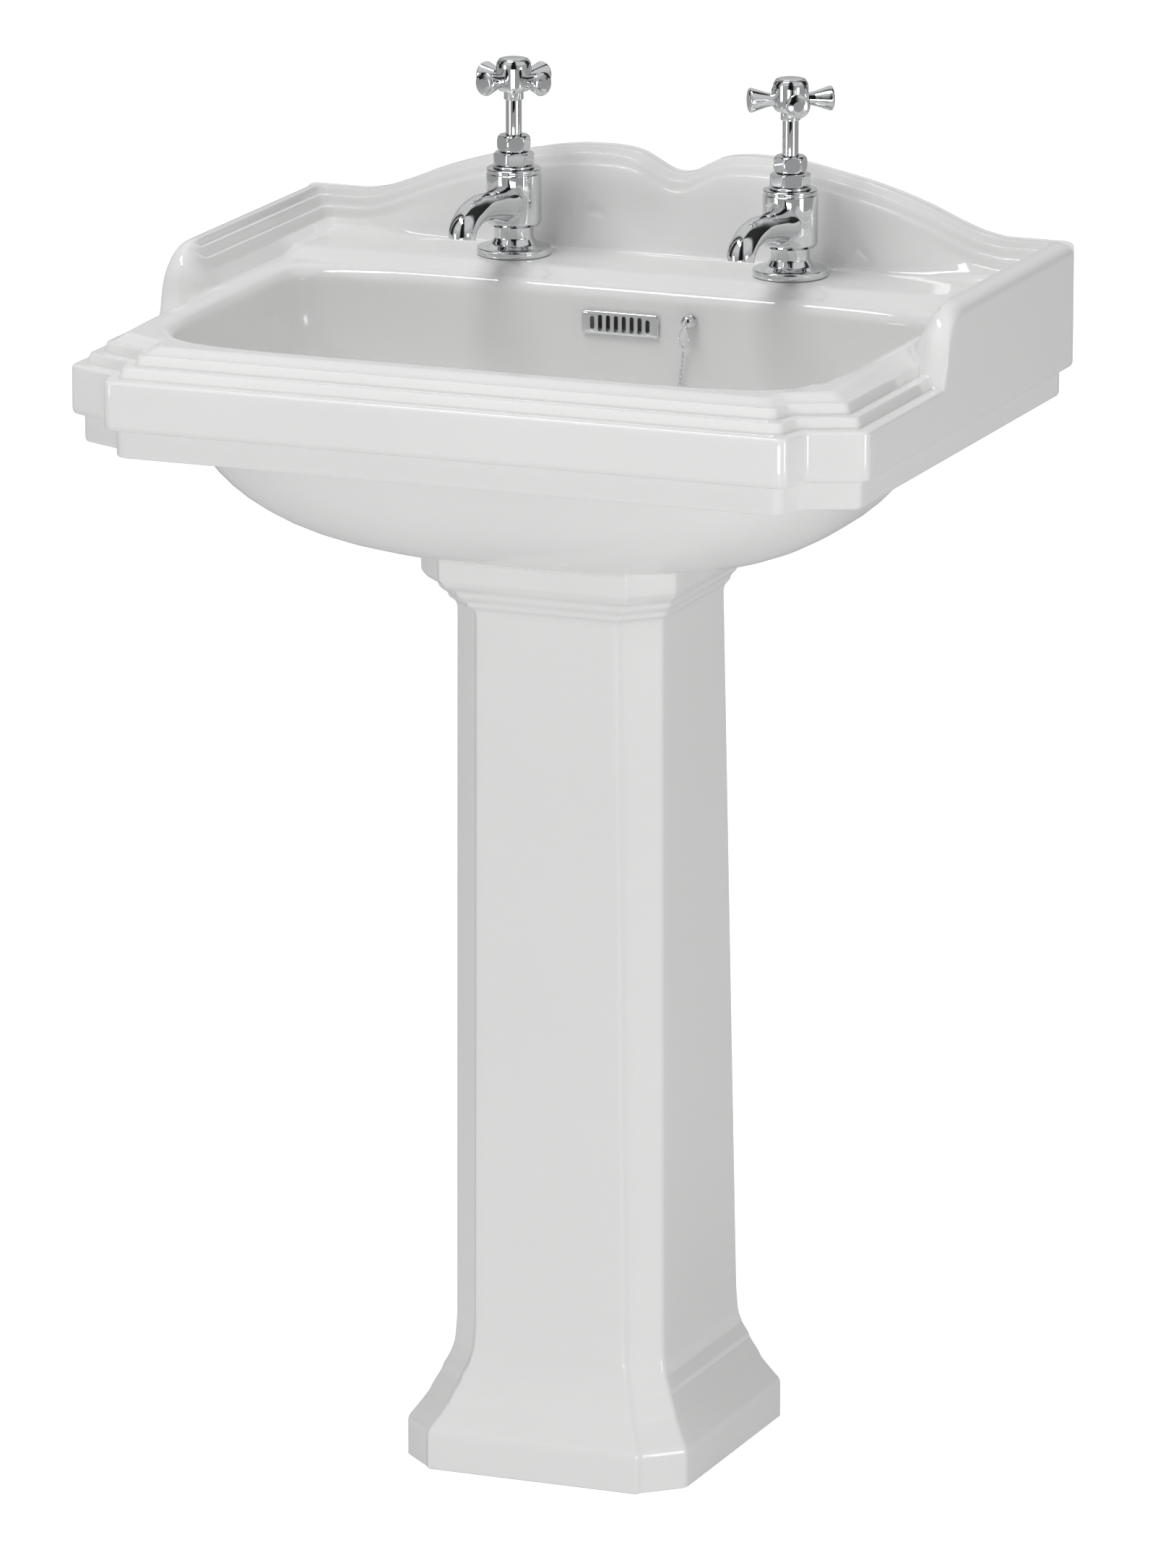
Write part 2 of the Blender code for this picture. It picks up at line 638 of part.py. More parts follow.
def pedestal():
    mix = lambda a, b, t: a + (b - a) * t
    neck = PEDESTAL_HEIGHT - CAPITAL_NECK
    foot = [(0.0, 1.0), (PLINTH_HEIGHT - 0.003, 1.0), (PLINTH_HEIGHT + 0.002, 0.96),
            (0.034, 0.80), (0.047, 0.52), (0.051, 0.50), (0.059, 0.30), (0.071, 0.10), (FLARE_TOP, 0.0)]
    levels = [(z, mix(COLUMN_FOOT, PLINTH, t)) for z, t in foot]
    levels.append((neck, COLUMN_TOP))
    head = [(0.004, 0.05), (0.008, 0.22), (0.011, 0.24), (0.015, 0.50), (0.018, 0.52), (0.024, 0.90),
            (0.028, 1.0)]
    levels += [(neck + z, mix(COLUMN_TOP, CAPITAL, t)) for z, t in head]
    rings = [level(pedestal_section(sizes), z) for z, sizes in levels]
    top = pedestal_section(CAPITAL)
    seat = np.minimum(underside(top[:, 0], top[:, 1]), SEAT_RISE) - SEAT_GAP
    rings.append(level(top, PEDESTAL_HEIGHT + seat))
    return loft("pedestal", rings, GLAZE, (0, WALL_Y, 0), closed=False, caps=True)


# Taps ---------------------------------------------------------------------------------------

BONNET_Z = BODY_TOP + GAP
GLAND_Z = BONNET_Z + 0.0018 + BONNET_HEIGHT + GAP
HANDLE_Z = GLAND_Z + GLAND_HEIGHT + SPINDLE_SHOWN
HUB_Z = HANDLE_Z + 0.0067
ARM_Z = HUB_Z + 0.0075
INDEX_RADIUS = 0.0090


def tap_body(name, place):
    """Flange, neck, barrel and spout in one casting, with its waterway bored through."""
    r, top = BODY_RADIUS, BODY_TOP
    outside = [
        (0, top), (r - 0.0020, top), (r - 0.0006, top - 0.0006), (r - 0.0006, top - 0.0026),
        (r, top - 0.0032), (r, BODY_BOTTOM + 0.003), (r - 0.0025, BODY_BOTTOM),
        (NECK_RADIUS, BODY_BOTTOM), (NECK_RADIUS, 0.0110), (NECK_RADIUS + 0.003, 0.0085),
        (NECK_RADIUS + 0.0065, FLANGE_THICKNESS), (FLANGE_RADIUS - 0.001, FLANGE_THICKNESS),
        (FLANGE_RADIUS, FLANGE_THICKNESS - 0.001), (FLANGE_RADIUS, GAP),
        (FLANGE_RADIUS - 0.0024, GAP), (FLANGE_RADIUS - 0.0024, 0.0018),
        (TAIL_RADIUS, 0.0018), (TAIL_RADIUS, -TAIL_LENGTH), (0, -TAIL_LENGTH),
    ]
    made = turned(name, outside, CHROME, place)
    lift = BODY_BOTTOM + 0.0160
    outlet = SPOUT_OUTLET
    route = [
        (0, 0.004, lift), (0, -0.020, lift + 0.0012), (0, -0.045, lift + 0.0042),
        (0, -SPOUT_REACH + 0.0255, lift + 0.0052), (0, -SPOUT_REACH + 0.0100, lift + 0.0016),
        (0, -SPOUT_REACH + 0.0013, outlet + 0.0048), (0, -SPOUT_REACH, outlet),
    ]
    shape = through(route, 14)
    thick = [1.38, 1.34, 1.28, 1.18, 1.08, 1.02, 0.99, 0.98, 0.97, 0.96, 0.96, 0.96, 0.96, 0.96]
    spout = as_mesh(tube(f"{name}_spout", shape, SPOUT_RADIUS, CHROME, place, thick))
    combine(made, spout, "UNION")
    combine(made, bored(f"{name}_inlet", WATERWAY, -TAIL_LENGTH - 0.01, SEAT + 0.01, place, 16))
    combine(made, bored(f"{name}_chamber", CHAMBER, SEAT, top + 0.01, place, 20))
    bore_route = [*route[:-1], (0, -SPOUT_REACH, outlet - 0.010)]
    water = [(p[0], p[1], p[2] + 0.002) for p in through(bore_route, 12)]
    combine(made, as_mesh(tube(f"{name}_water", water, WATERWAY, CHROME, place, sides=1)))
    return made


def tap(side, turn):
    """One pillar tap with its headgear, on the deck. Its head is turned by the angle given."""
    x = side * TAP_SPREAD / 2
    hand = "right" if side > 0 else "left"
    deck = PEDESTAL_HEIGHT + float(deck_level(-TAP_BACK, True))
    place = (x, WALL_Y - TAP_BACK, deck)
    tap_body(f"tap_{hand}_body", place)
    turned(f"tap_{hand}_gasket", [
        (FLANGE_RADIUS - 0.0030, 0.0015), (FLANGE_RADIUS - 0.0030, GAP),
        (TAP_HOLE + 0.001, GAP), (TAP_HOLE + 0.001, 0.0015)], RUBBER, place, 16, True)
    under = -DECK_THICKNESS - 0.0010
    turned(f"tap_{hand}_washer", [
        (0.0200, under - GAP), (0.0200, under - 0.0030), (TAIL_RADIUS + GAP, under - 0.0030),
        (TAIL_RADIUS + GAP, under - GAP)], PLASTIC, place, 16, True)
    nut = prism(f"tap_{hand}_backnut", 6, BACKNUT_SIZE, under - 0.0115, under - 0.0030 - GAP,
                BRASS, place)
    combine(nut, bored(f"backnut_bore_{hand}", TAIL_RADIUS + GAP, -0.1, 0.0, place, 16))
    bonnet = prism(f"tap_{hand}_bonnet", 6, BONNET_HEX, BONNET_Z + 0.0018 - 0.0002,
                   BONNET_Z + 0.0018 + BONNET_HEIGHT, CHROME, place)
    inner = CHAMBER - GAP
    collar = SPINDLE_RADIUS + 0.0023
    shank = turned(f"bonnet_shank_{hand}", [
        (0, GLAND_Z + 0.006), (collar, GLAND_Z + 0.006), (collar, BONNET_Z + 0.0015),
        (BODY_RADIUS - 0.0045, BONNET_Z + 0.0015), (BODY_RADIUS - 0.0045, BONNET_Z), (inner, BONNET_Z),
        (inner, 0.0480), (0, 0.0480)], CHROME, place, 20)
    combine(bonnet, shank, "UNION")
    combine(bonnet, bored(f"bonnet_bore_{hand}", SPINDLE_RADIUS + RUNNING_GAP, 0.040, 0.120, place, 16))
    gland = prism(f"tap_{hand}_gland_nut", 6, GLAND_HEX, GLAND_Z, GLAND_Z + GLAND_HEIGHT, CHROME, place)
    combine(gland, bored(f"gland_socket_{hand}", collar + GAP, 0.050, GLAND_Z + 0.006 + GAP, place, 16))
    combine(gland, bored(f"gland_bore_{hand}", SPINDLE_RADIUS + RUNNING_GAP, 0.050, 0.120, place, 16))
    spindle_top, stem = HUB_Z + 0.0010, 0.0035
    spindle = turned(f"tap_{hand}_spindle", [
        (0, HUB_Z + 0.0120), (stem, HUB_Z + 0.0120), (stem, spindle_top),
        (SPINDLE_RADIUS, spindle_top), (SPINDLE_RADIUS, 0.0395), (0, 0.0395)], CHROME, place, 16)
    combine(spindle, bored(f"jumper_socket_{hand}", 0.0022, 0.030, 0.0475, place, 12))
    combine(spindle, bored(f"screw_socket_{hand}", 0.0017, HUB_Z + 0.0060, 0.150, place, 12))
    turned(f"tap_{hand}_jumper", [
        (0, 0.0455), (0.0019, 0.0455), (0.0019, 0.0368), (0.0080, 0.0368), (0.0080, SEAT + 0.0036),
        (0, SEAT + 0.0036)], BRASS, place, 16)
    turned(f"tap_{hand}_seat_washer", [
        (0, SEAT + 0.0033), (0.0085, SEAT + 0.0033), (0.0085, SEAT + GAP), (0, SEAT + GAP)],
        RUBBER, place, 16)
    r, top = HUB_RADIUS, HUB_Z + HUB_HEIGHT
    handle = turned(f"tap_{hand}_handle", [
        (0, top - 0.0022), (INDEX_RADIUS + GAP, top - 0.0022), (INDEX_RADIUS + GAP, top - 0.0008),
        (r - 0.0010, top - 0.0030), (r, top - 0.0065), (r, HUB_Z + 0.0035), (r - 0.0025, HUB_Z),
        (0.0066, HUB_Z - 0.0005), (0.0066, HANDLE_Z + 0.001), (0.0060, HANDLE_Z), (0, HANDLE_Z)],
        CHROME, place)
    for quarter in range(4):
        a = math.radians(turn) + quarter * math.pi / 2
        out = Vector((math.cos(a), math.sin(a), 0))
        middle = (r - 0.004 + HANDLE_SPAN / 2) / 2
        work = bmesh.new()
        bmesh.ops.create_cone(work, cap_ends=True, segments=12, radius1=ARM_ROOT, radius2=ARM_TIP,
                              depth=HANDLE_SPAN / 2 - r + 0.004)
        lay = Matrix.Translation(out * middle + Vector((0, 0, ARM_Z)))
        lay = lay @ out.to_track_quat("Z", "Y").to_matrix().to_4x4()
        bmesh.ops.transform(work, matrix=lay, verts=work.verts)
        mesh = bpy.data.meshes.new(f"arm_{hand}_{quarter}")
        work.to_mesh(mesh)
        work.free()
        combine(handle, add(mesh.name, mesh, CHROME, place), "UNION")
    combine(handle, bored(f"handle_bore_{hand}", SPINDLE_RADIUS + GAP, HANDLE_Z - 0.01,
                          spindle_top + GAP, place, 16))
    combine(handle, bored(f"handle_socket_{hand}", stem + GAP, HANDLE_Z - 0.01,
                          HUB_Z + 0.0120 + GAP, place, 16))
    combine(handle, bored(f"handle_screw_hole_{hand}", 0.0020, HUB_Z, top + 0.01, place, 12))
    combine(handle, bored(f"handle_screw_seat_{hand}", 0.0040, top - 0.0062, top, place, 12))
    turned(f"tap_{hand}_handle_screw", [
        (0, top - 0.0035), (0.0036, top - 0.0035), (0.0036, top - 0.0059), (0.0014, top - 0.0059),
        (0.0014, HUB_Z + 0.0065), (0, HUB_Z + 0.0065)], BRASS, place, 12)
    turned(f"tap_{hand}_index", [
        (0, top), (INDEX_RADIUS * 0.6, top - 0.0002), (INDEX_RADIUS, top - 0.0008),
        (INDEX_RADIUS, top - 0.0022 + GAP), (0, top - 0.0022 + GAP)], CHROME, place, 20)


# Waste, plug, chain and overflow --------------------------------------------------------------

WASTE_TOP = PEDESTAL_HEIGHT + BOWL_BOTTOM - RECESS_DEPTH
WASTE_FOOT = WASTE_TOP - WASTE_LENGTH
BOSS_Z = PEDESTAL_HEIGHT - BOSS_DEPTH


def waste():
    place = (0, WASTE_Y, WASTE_TOP)
    seat = 0.0018
    turned("waste_top_washer", [
        (WASTE_FLANGE - 0.002, seat - GAP), (WASTE_FLANGE - 0.002, GAP), (WASTE_RADIUS + GAP, GAP),
        (WASTE_RADIUS + GAP, seat - GAP)], RUBBER, place, 24, True)
    body = turned("waste_body", [
        (WASTE_BORE + 0.0050, seat + 0.0030), (WASTE_FLANGE - 0.001, seat + 0.0026), (WASTE_FLANGE, seat + 0.0016),
        (WASTE_FLANGE, seat), (WASTE_RADIUS, seat), (WASTE_RADIUS, -WASTE_LENGTH),
        (WASTE_BORE, -WASTE_LENGTH), (WASTE_BORE, -0.0130)], CHROME, place, 24, True)
    slot_z = BOSS_Z + 0.0155 - WASTE_TOP
    slot = block("waste_slot", (0.018, 0.080, 0.009), None, (0, WASTE_Y, WASTE_TOP + slot_z))
    combine(body, slot)
    low = BOSS_Z - WASTE_TOP
    turned("waste_bottom_washer", [
        (WASTE_FLANGE, low - GAP), (WASTE_FLANGE, low - 0.0030), (WASTE_RADIUS + GAP, low - 0.0030),
        (WASTE_RADIUS + GAP, low - GAP)], RUBBER, place, 24, True)
    nut = prism("waste_backnut", 6, 0.056, low - 0.0120, low - 0.0030 - GAP, BRASS, place)
    combine(nut, bored("waste_nut_bore", WASTE_RADIUS + GAP, -0.1, 0.0, place, 24))
    rim, depth = PLUG_RADIUS, PLUG_THICKNESS
    rest = seat + 0.0040
    core = rim - 0.0105
    turned("plug_seal", [
        (rim, rest - 0.0005), (rim - 0.0005, rest - 0.0020), (rim - 0.0035, rest - depth + 0.002),
        (rim - 0.0043, rest - depth), (core, rest - depth), (core, rest - 0.0005)],
        RUBBER, place, 24, True)
    plug = turned("plug", [
        (0, rest + 0.0024), (0.0090, rest + 0.0020), (rim - 0.001, rest + 0.0008), (rim, rest - 0.0002),
        (core - GAP, rest - 0.0002), (core - GAP, rest - depth + 0.001), (0, rest - depth + 0.001)],
        CHROME, place, 24)
    hole_z = rest + 0.0055
    eye = turned("plug_eye", [
        (0, hole_z + 0.0024), (0.0018, hole_z + 0.0017), (0.0023, hole_z), (0.0020, hole_z - 0.0022),
        (0.0028, rest + 0.0010), (0, rest + 0.0010)], CHROME, place, 13)
    eye_hole = bored("eye_hole", EYE_HOLE, -0.01, 0.01, steps=10)
    eye_hole.rotation_euler = (math.pi / 2, 0, 0)
    eye_hole.location = (0, WASTE_Y, WASTE_TOP + hole_z)
    combine(eye, eye_hole)
    combine(plug, eye, "UNION")
    ring_z = WASTE_TOP + hole_z - 0.0003 + RING_RADIUS
    turns = np.linspace(0, 2 * math.pi, 16, endpoint=False)
    link = [(0, RING_RADIUS * math.cos(t), RING_RADIUS * math.sin(t)) for t in turns]
    tube("plug_ring", link, RING_WIRE, CHROME, (0, WASTE_Y, ring_z), cyclic=True, sides=1)
    return ring_z


def overflow_grille():
    z = PEDESTAL_HEIGHT + LIP_Z - GRILLE_BELOW_LIP
    y = WALL_Y - BOWL_BACK - 0.0012 - GRILLE_THICKNESS / 2
    plate = block("overflow_grille", (GRILLE_WIDTH, GRILLE_THICKNESS, GRILLE_HEIGHT), CHROME, (0, y, z))
    bevel = plate.modifiers.new("corners", "BEVEL")
    bevel.width = 0.0025
    bevel.segments = 1
    bevel.limit_method = "WEIGHT"
    weights = plate.data.attributes.new("bevel_weight_edge", "FLOAT", "EDGE")
    for edge in plate.data.edges:
        a, b = (plate.data.vertices[i].co for i in edge.vertices)
        weights.data[edge.index].value = 1.0 if abs(a.y - b.y) > 0.0001 else 0.0
    collar = block("grille_collar", (GRILLE_WIDTH - 0.0108, 0.008, GRILLE_HEIGHT - 0.0058), CHROME,
                   (0, y + 0.0040, z))
    hollow = block("grille_hollow", (GRILLE_WIDTH - 0.0128, 0.008, GRILLE_HEIGHT - 0.0078), CHROME,
                   (0, y + 0.0040 + GRILLE_THICKNESS / 2 + 0.0002, z))
    combine(plate, collar, "UNION")
    combine(plate, hollow)
    for i in range(GRILLE_SLOTS):
        x = (i - (GRILLE_SLOTS - 1) / 2) * SLOT_PITCH
        tall = GRILLE_HEIGHT - (0.0085 if i in (0, GRILLE_SLOTS - 1) else 0.0065)
        combine(plate, block(f"grille_slot_{i}", (SLOT_WIDTH, 0.010, tall), None, (x, y, z)))


def chain(plug_end):
    """Stay and nut through the back wall, the bow that hangs from it, and the chain itself."""
    x, z = STAY_OFFSET, PEDESTAL_HEIGHT + LIP_Z - STAY_BELOW_LIP
    wall = WALL_Y - BOWL_BACK
    stay = turned("chain_stay", [
        (0, 0.0085), (0.0030, 0.0079), (STAY_BALL, 0.0045), (0.0046, 0.0022), (0.0030, 0.0010),
        (0.0045, 0.0006), (0.0045, -0.0004), (STAY_SHANK, -0.0004), (STAY_SHANK, -STAY_WALL - 0.0070),
        (0, -STAY_WALL - 0.0070)],
        CHROME, (x, wall - 0.0017, z), 16)
    stay.rotation_euler = (math.pi / 2, 0, 0)
    nut = prism("chain_stay_nut", 6, 0.0100, -STAY_WALL - GAP - 0.0030, -STAY_WALL - GAP, BRASS, (x, wall, z))
    combine(nut, bored("stay_nut_bore", STAY_SHANK + GAP, -0.03, 0.0, steps=12))
    bpy.data.objects["stay_nut_bore"].parent = nut
    nut.rotation_euler = (math.pi / 2, 0, 0)
    front = wall - 0.0064
    bow = [(x + 0.0000, front - 0.0052, z - 0.0030), (x - 0.0062, front + 0.0008, z - 0.0130),
           (x - 0.0034, front + 0.0016, z - 0.0180), (x + 0.0004, front + 0.0008, z - 0.0135)]
    tube("chain_bow", bow, 0.0006, CHROME, cyclic=True, sides=1)
    start = (x - 0.0034, front + 0.0012, z - 0.0205)
    floor = PEDESTAL_HEIGHT + BOWL_BOTTOM + CHAIN_RADIUS + 0.0010
    fall = [
        (x - shift, WALL_Y + bowl_wall(z - PEDESTAL_HEIGHT - drop) - 0.0034, z - drop)
        for shift, drop in ((0.005, 0.040), (0.007, 0.070), (0.011, 0.095), (0.018, 0.112))
    ]
    route = [
        start, *fall, (x - 0.022, wall - 0.0480, floor + 0.0040), (x - 0.014, wall - 0.0640, floor + 0.0012),
        (x - 0.024, WASTE_Y - 0.0240, floor + 0.0012), (x - 0.040, WASTE_Y - 0.0300, floor + 0.0030),
        (0.0020, WASTE_Y - 0.0120, floor + 0.0100), (0.0, WASTE_Y - 0.0030, plug_end + 0.0062),
    ]
    tube("chain", through(route, 60), CHAIN_RADIUS, CHROME, sides=1)


# Bottle trap inside the pedestal -------------------------------------------------------------

def trap():
    place = (0, WASTE_Y, WASTE_FOOT)
    tube_r, bore = TRAP_TUBE, TRAP_TUBE - TRAP_WALL
    washer, lip = 0.0032, 0.0030
    turned("trap_inlet_washer", [
        (WASTE_RADIUS - 0.0005, -GAP), (WASTE_RADIUS - 0.0005, -washer + GAP), (bore + 0.001, -washer + GAP),
        (bore + 0.001, -GAP)], RUBBER, place, 20, True)
    low, skin = -washer - lip, 0.0026
    turned("trap_inlet_nut", [
        (WASTE_RADIUS + 0.0062, 0.0140), (WASTE_RADIUS + 0.0066, low - 0.0030), (tube_r + GAP, low - 0.0030),
        (tube_r + GAP, low - GAP), (WASTE_RADIUS + GAP, low - GAP), (WASTE_RADIUS + GAP, 0.0140)],
        PLASTIC, place, 24, True)
    top = -BOTTLE_TOP_BELOW_WASTE
    base = top - CASING_LENGTH
    r = BOTTLE_RADIUS
    casing = turned("trap_body", [
        (bore, -washer), (WASTE_RADIUS - 0.0005, -washer), (WASTE_RADIUS - 0.0005, low), (tube_r, low),
        (tube_r, top + 0.004), (r - 0.004, top), (r, top - 0.004), (r, base), (r - skin, base),
        (r - skin, top - 0.006), (tube_r + 0.003, top - 0.0035), (tube_r, top - 0.006),
        (tube_r, base - 0.040), (bore, base - 0.040)], PLASTIC, place, 24, True)
    z = WASTE_FOOT + top - OUTLET_BELOW_CASING_TOP
    reach, start = 0.0280, r - 0.0015
    spigot = bored("trap_spigot", tube_r + 0.0010, -(r + reach), -start, (0, WASTE_Y, z), 20)
    spigot.rotation_euler = (math.pi / 2, 0, 0)
    combine(casing, spigot, "UNION")
    way = bored("trap_way", bore + 0.0006, -(r + reach + 0.01), -(tube_r + 0.004), (0, WASTE_Y, z), 20)
    way.rotation_euler = (math.pi / 2, 0, 0)
    combine(casing, way)
    seal = 0.0030
    turned("trap_cup_seal", [
        (r - GAP, base - GAP), (r - GAP, base - seal + GAP), (r - skin + GAP, base - seal + GAP),
        (r - skin + GAP, base - GAP)], RUBBER, place, 24, True)
    floor = base - CUP_LENGTH
    turned("trap_cup", [
        (0, floor + 0.004), (r - skin - 0.003, floor + 0.004), (r - skin, floor + 0.008),
        (r - skin, base - seal), (r + GAP, base - seal), (r + GAP, base + 0.0085),
        (r + 0.0034, base + 0.0085), (r + 0.0034, base - 0.010), (r + 0.0008, base - 0.013), (r + 0.0008, floor + 0.006),
        (r - 0.005, floor), (0, floor)], PLASTIC, place, 24)
    end = WASTE_Y + r + reach
    nut = turned("trap_outlet_nut", [
        (tube_r + 0.0085, 0.0200), (tube_r + 0.0085, 0.0000), (tube_r + 0.0010 + GAP, 0.0000),
        (tube_r + 0.0010 + GAP, 0.0165), (tube_r + GAP, 0.0168), (tube_r + GAP, 0.0200)],
        PLASTIC, (0, end - 0.0140, z), 24, True)
    nut.rotation_euler = (-math.pi / 2, 0, 0)
    run = WALL_Y - end
    pipe = turned("waste_pipe", [
        (tube_r, run), (tube_r, GAP), (bore, GAP), (bore, run)], PLASTIC, (0, end, z), 20, True)
    pipe.rotation_euler = (-math.pi / 2, 0, 0)


basin()
pedestal()
tap(-1, LEFT_HANDLE_TURN)
tap(1, RIGHT_HANDLE_TURN)
chain(waste())
overflow_grille()
trap()
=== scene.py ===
# %% [markdown]
# # A pedestal basin with two pillar taps
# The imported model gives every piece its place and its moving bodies. This lesson lays the finished
# surfaces over it: glazed china, chromed brass, a link chain and the white plastic trap. Each surface
# is worked out with numpy as a grid of points, so a shape is a formula that can be read and changed.

# %% Load the frame
import json
import math

import bpy
import numpy as np
from mathutils import Matrix, Vector


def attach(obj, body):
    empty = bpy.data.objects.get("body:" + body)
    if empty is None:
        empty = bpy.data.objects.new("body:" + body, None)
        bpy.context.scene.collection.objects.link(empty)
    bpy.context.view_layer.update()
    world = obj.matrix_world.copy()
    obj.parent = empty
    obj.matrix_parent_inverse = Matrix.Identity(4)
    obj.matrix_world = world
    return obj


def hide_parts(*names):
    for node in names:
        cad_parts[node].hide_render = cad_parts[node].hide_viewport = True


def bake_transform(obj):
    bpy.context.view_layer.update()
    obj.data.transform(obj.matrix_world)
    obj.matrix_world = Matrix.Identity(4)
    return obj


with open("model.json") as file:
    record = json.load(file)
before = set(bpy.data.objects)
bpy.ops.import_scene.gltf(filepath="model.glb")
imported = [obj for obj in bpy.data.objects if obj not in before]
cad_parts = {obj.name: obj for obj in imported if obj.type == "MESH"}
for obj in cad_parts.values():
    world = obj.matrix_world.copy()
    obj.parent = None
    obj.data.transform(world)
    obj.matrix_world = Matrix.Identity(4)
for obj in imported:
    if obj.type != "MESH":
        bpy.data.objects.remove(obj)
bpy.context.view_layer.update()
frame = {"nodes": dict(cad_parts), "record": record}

# %% [markdown]
# ## Sizes
# All lengths are in metres. The wall of the room is the plane y = WALL, and heights inside the basin
# are counted from its seat on the pedestal, as a potter would measure it upside down on a bench.

# %% Sizes
WALL = 0.2175
SEAT = 0.630
HALF, DEEP = 0.280, 0.435
DECK = SEAT + 0.1655
LIP = 0.158
LAND = 0.035
WASTE_BACK = 0.200
WASTE_Y = WALL - WASTE_BACK
BOWL_BACK = 0.120
BACK = WALL - BOWL_BACK
BOWL_HALF, BOWL_AHEAD, BOWL_BEHIND = 0.233, 0.185, 0.080
BOWL_FLOOR, BOWL_WALL, UNDER_TOP = 0.013, 0.014, 0.136
LIP_ROUND = 0.010
RIM_POWER, DISH_POWER = 7.0, 3.8
TAP_X, TAP_Y = 0.100, WALL - 0.0660
TAPS = [(hand, np.array((side * TAP_X, TAP_Y, DECK))) for side, hand in ((-1, "left"), (1, "right"))]
TRAP_TOP = SEAT + 0.009 - 0.085
PIPE_Z = TRAP_TOP - 0.055
print("taps at", {hand: place.round(4).tolist() for hand, place in TAPS})

# %% [markdown]
# ## Camera
# The object is seen from the right and a little above, from far away with a long lens, which keeps
# its uprights almost parallel. The camera is placed by its azimuth and elevation.

# %% Camera
azimuth, elevation, roll = (math.radians(a) for a in (22.068, 14.081, 0.016))
away = Vector((math.sin(azimuth) * math.cos(elevation), -math.cos(azimuth) * math.cos(elevation),
               math.sin(elevation)))
across = Vector((math.cos(azimuth), math.sin(azimuth), 0))
upward = away.cross(across)
turned_across = across * math.cos(roll) + upward * math.sin(roll)
turned_up = upward * math.cos(roll) - across * math.sin(roll)
camera = bpy.data.objects.new("camera", bpy.data.cameras.new("camera"))
axes = Matrix((turned_across, turned_up, away)).transposed()
camera.matrix_world = Matrix.Translation((2.70947, -6.65650, 2.27267)) @ axes.to_4x4()
camera.data.sensor_width = 36
camera.data.lens = 254.6328
camera.data.clip_end = 60
bpy.context.scene.collection.objects.link(camera)
bpy.context.scene.camera = camera
print("lens", round(camera.data.lens, 1), "mm")

# %% [markdown]
# ## Floor and light
# White china shows its form by soft reflections, so the room is a pale sweep with a long softbox
# above, a tall one at each side and a low one in front, to the right of where the camera would see
# it in the rim. The world is bright overhead and has dark upright bands round the horizon, which is
# what gives polished chrome its black and white stripes. The floor glows for the camera, so that it
# is plain white, and throws back only a little of that, so that the underside stays in shade.

# %% Floor and light
bpy.context.scene.view_settings.view_transform = "Standard"
SPILL = 0.14


def plain_material(name, colour, roughness, glow):
    """A matt studio paper for the stage. It glows for the camera, and less for what it lights."""
    made = bpy.data.materials.new(name)
    made.use_nodes = True
    shader = made.node_tree.nodes["Principled BSDF"]
    shader.inputs["Base Color"].default_value = (*colour, 1)
    shader.inputs["Roughness"].default_value = roughness
    shader.inputs["Specular IOR Level"].default_value = 0.0
    shader.inputs["Emission Color"].default_value = (1, 1, 1, 1)
    path = made.node_tree.nodes.new("ShaderNodeLightPath")
    strength = made.node_tree.nodes.new("ShaderNodeMapRange")
    strength.inputs["To Min"].default_value = glow * SPILL
    strength.inputs["To Max"].default_value = glow
    made.node_tree.links.new(path.outputs["Is Camera Ray"], strength.inputs["Value"])
    made.node_tree.links.new(strength.outputs["Result"], shader.inputs["Emission Strength"])
    return made


floor_mesh = bpy.data.meshes.new("studio_floor")
floor_mesh.from_pydata([(-30, -12, 0), (30, -12, 0), (30, 40, 0), (-30, 40, 0)], [], [(0, 1, 2, 3)])
floor_mesh.materials.append(plain_material("studio_paper", (0.55, 0.55, 0.55), 1.0, 0.86))
studio_floor = bpy.data.objects.new("studio_floor", floor_mesh)
bpy.context.scene.collection.objects.link(studio_floor)


def softbox(name, place, target, wide, tall, power):
    """An area light at a place, turned to face a target."""
    lamp = bpy.data.lights.new(name, "AREA")
    lamp.shape = "RECTANGLE"
    lamp.size, lamp.size_y, lamp.energy = wide, tall, power
    made = bpy.data.objects.new(name, lamp)
    made.location = place
    made.rotation_euler = (Vector(place) - Vector(target)).to_track_quat("Z", "Y").to_euler()
    bpy.context.scene.collection.objects.link(made)
    return made


softbox("softbox_above", (-0.5, -0.6, 3.0), (0, 0, 0.7), 1.5, 0.42, 24)
softbox("softbox_left", (-2.2, -2.6, 0.7), (0, 0, 0.30), 0.8, 1.2, 13)
softbox("softbox_front", (0.7, -2.6, 0.3), (0, 0, 0.25), 1.2, 0.4, 15)
softbox("softbox_right", (3.0, -1.0, 0.6), (0, 0, 0.4), 0.8, 1.2, 20)

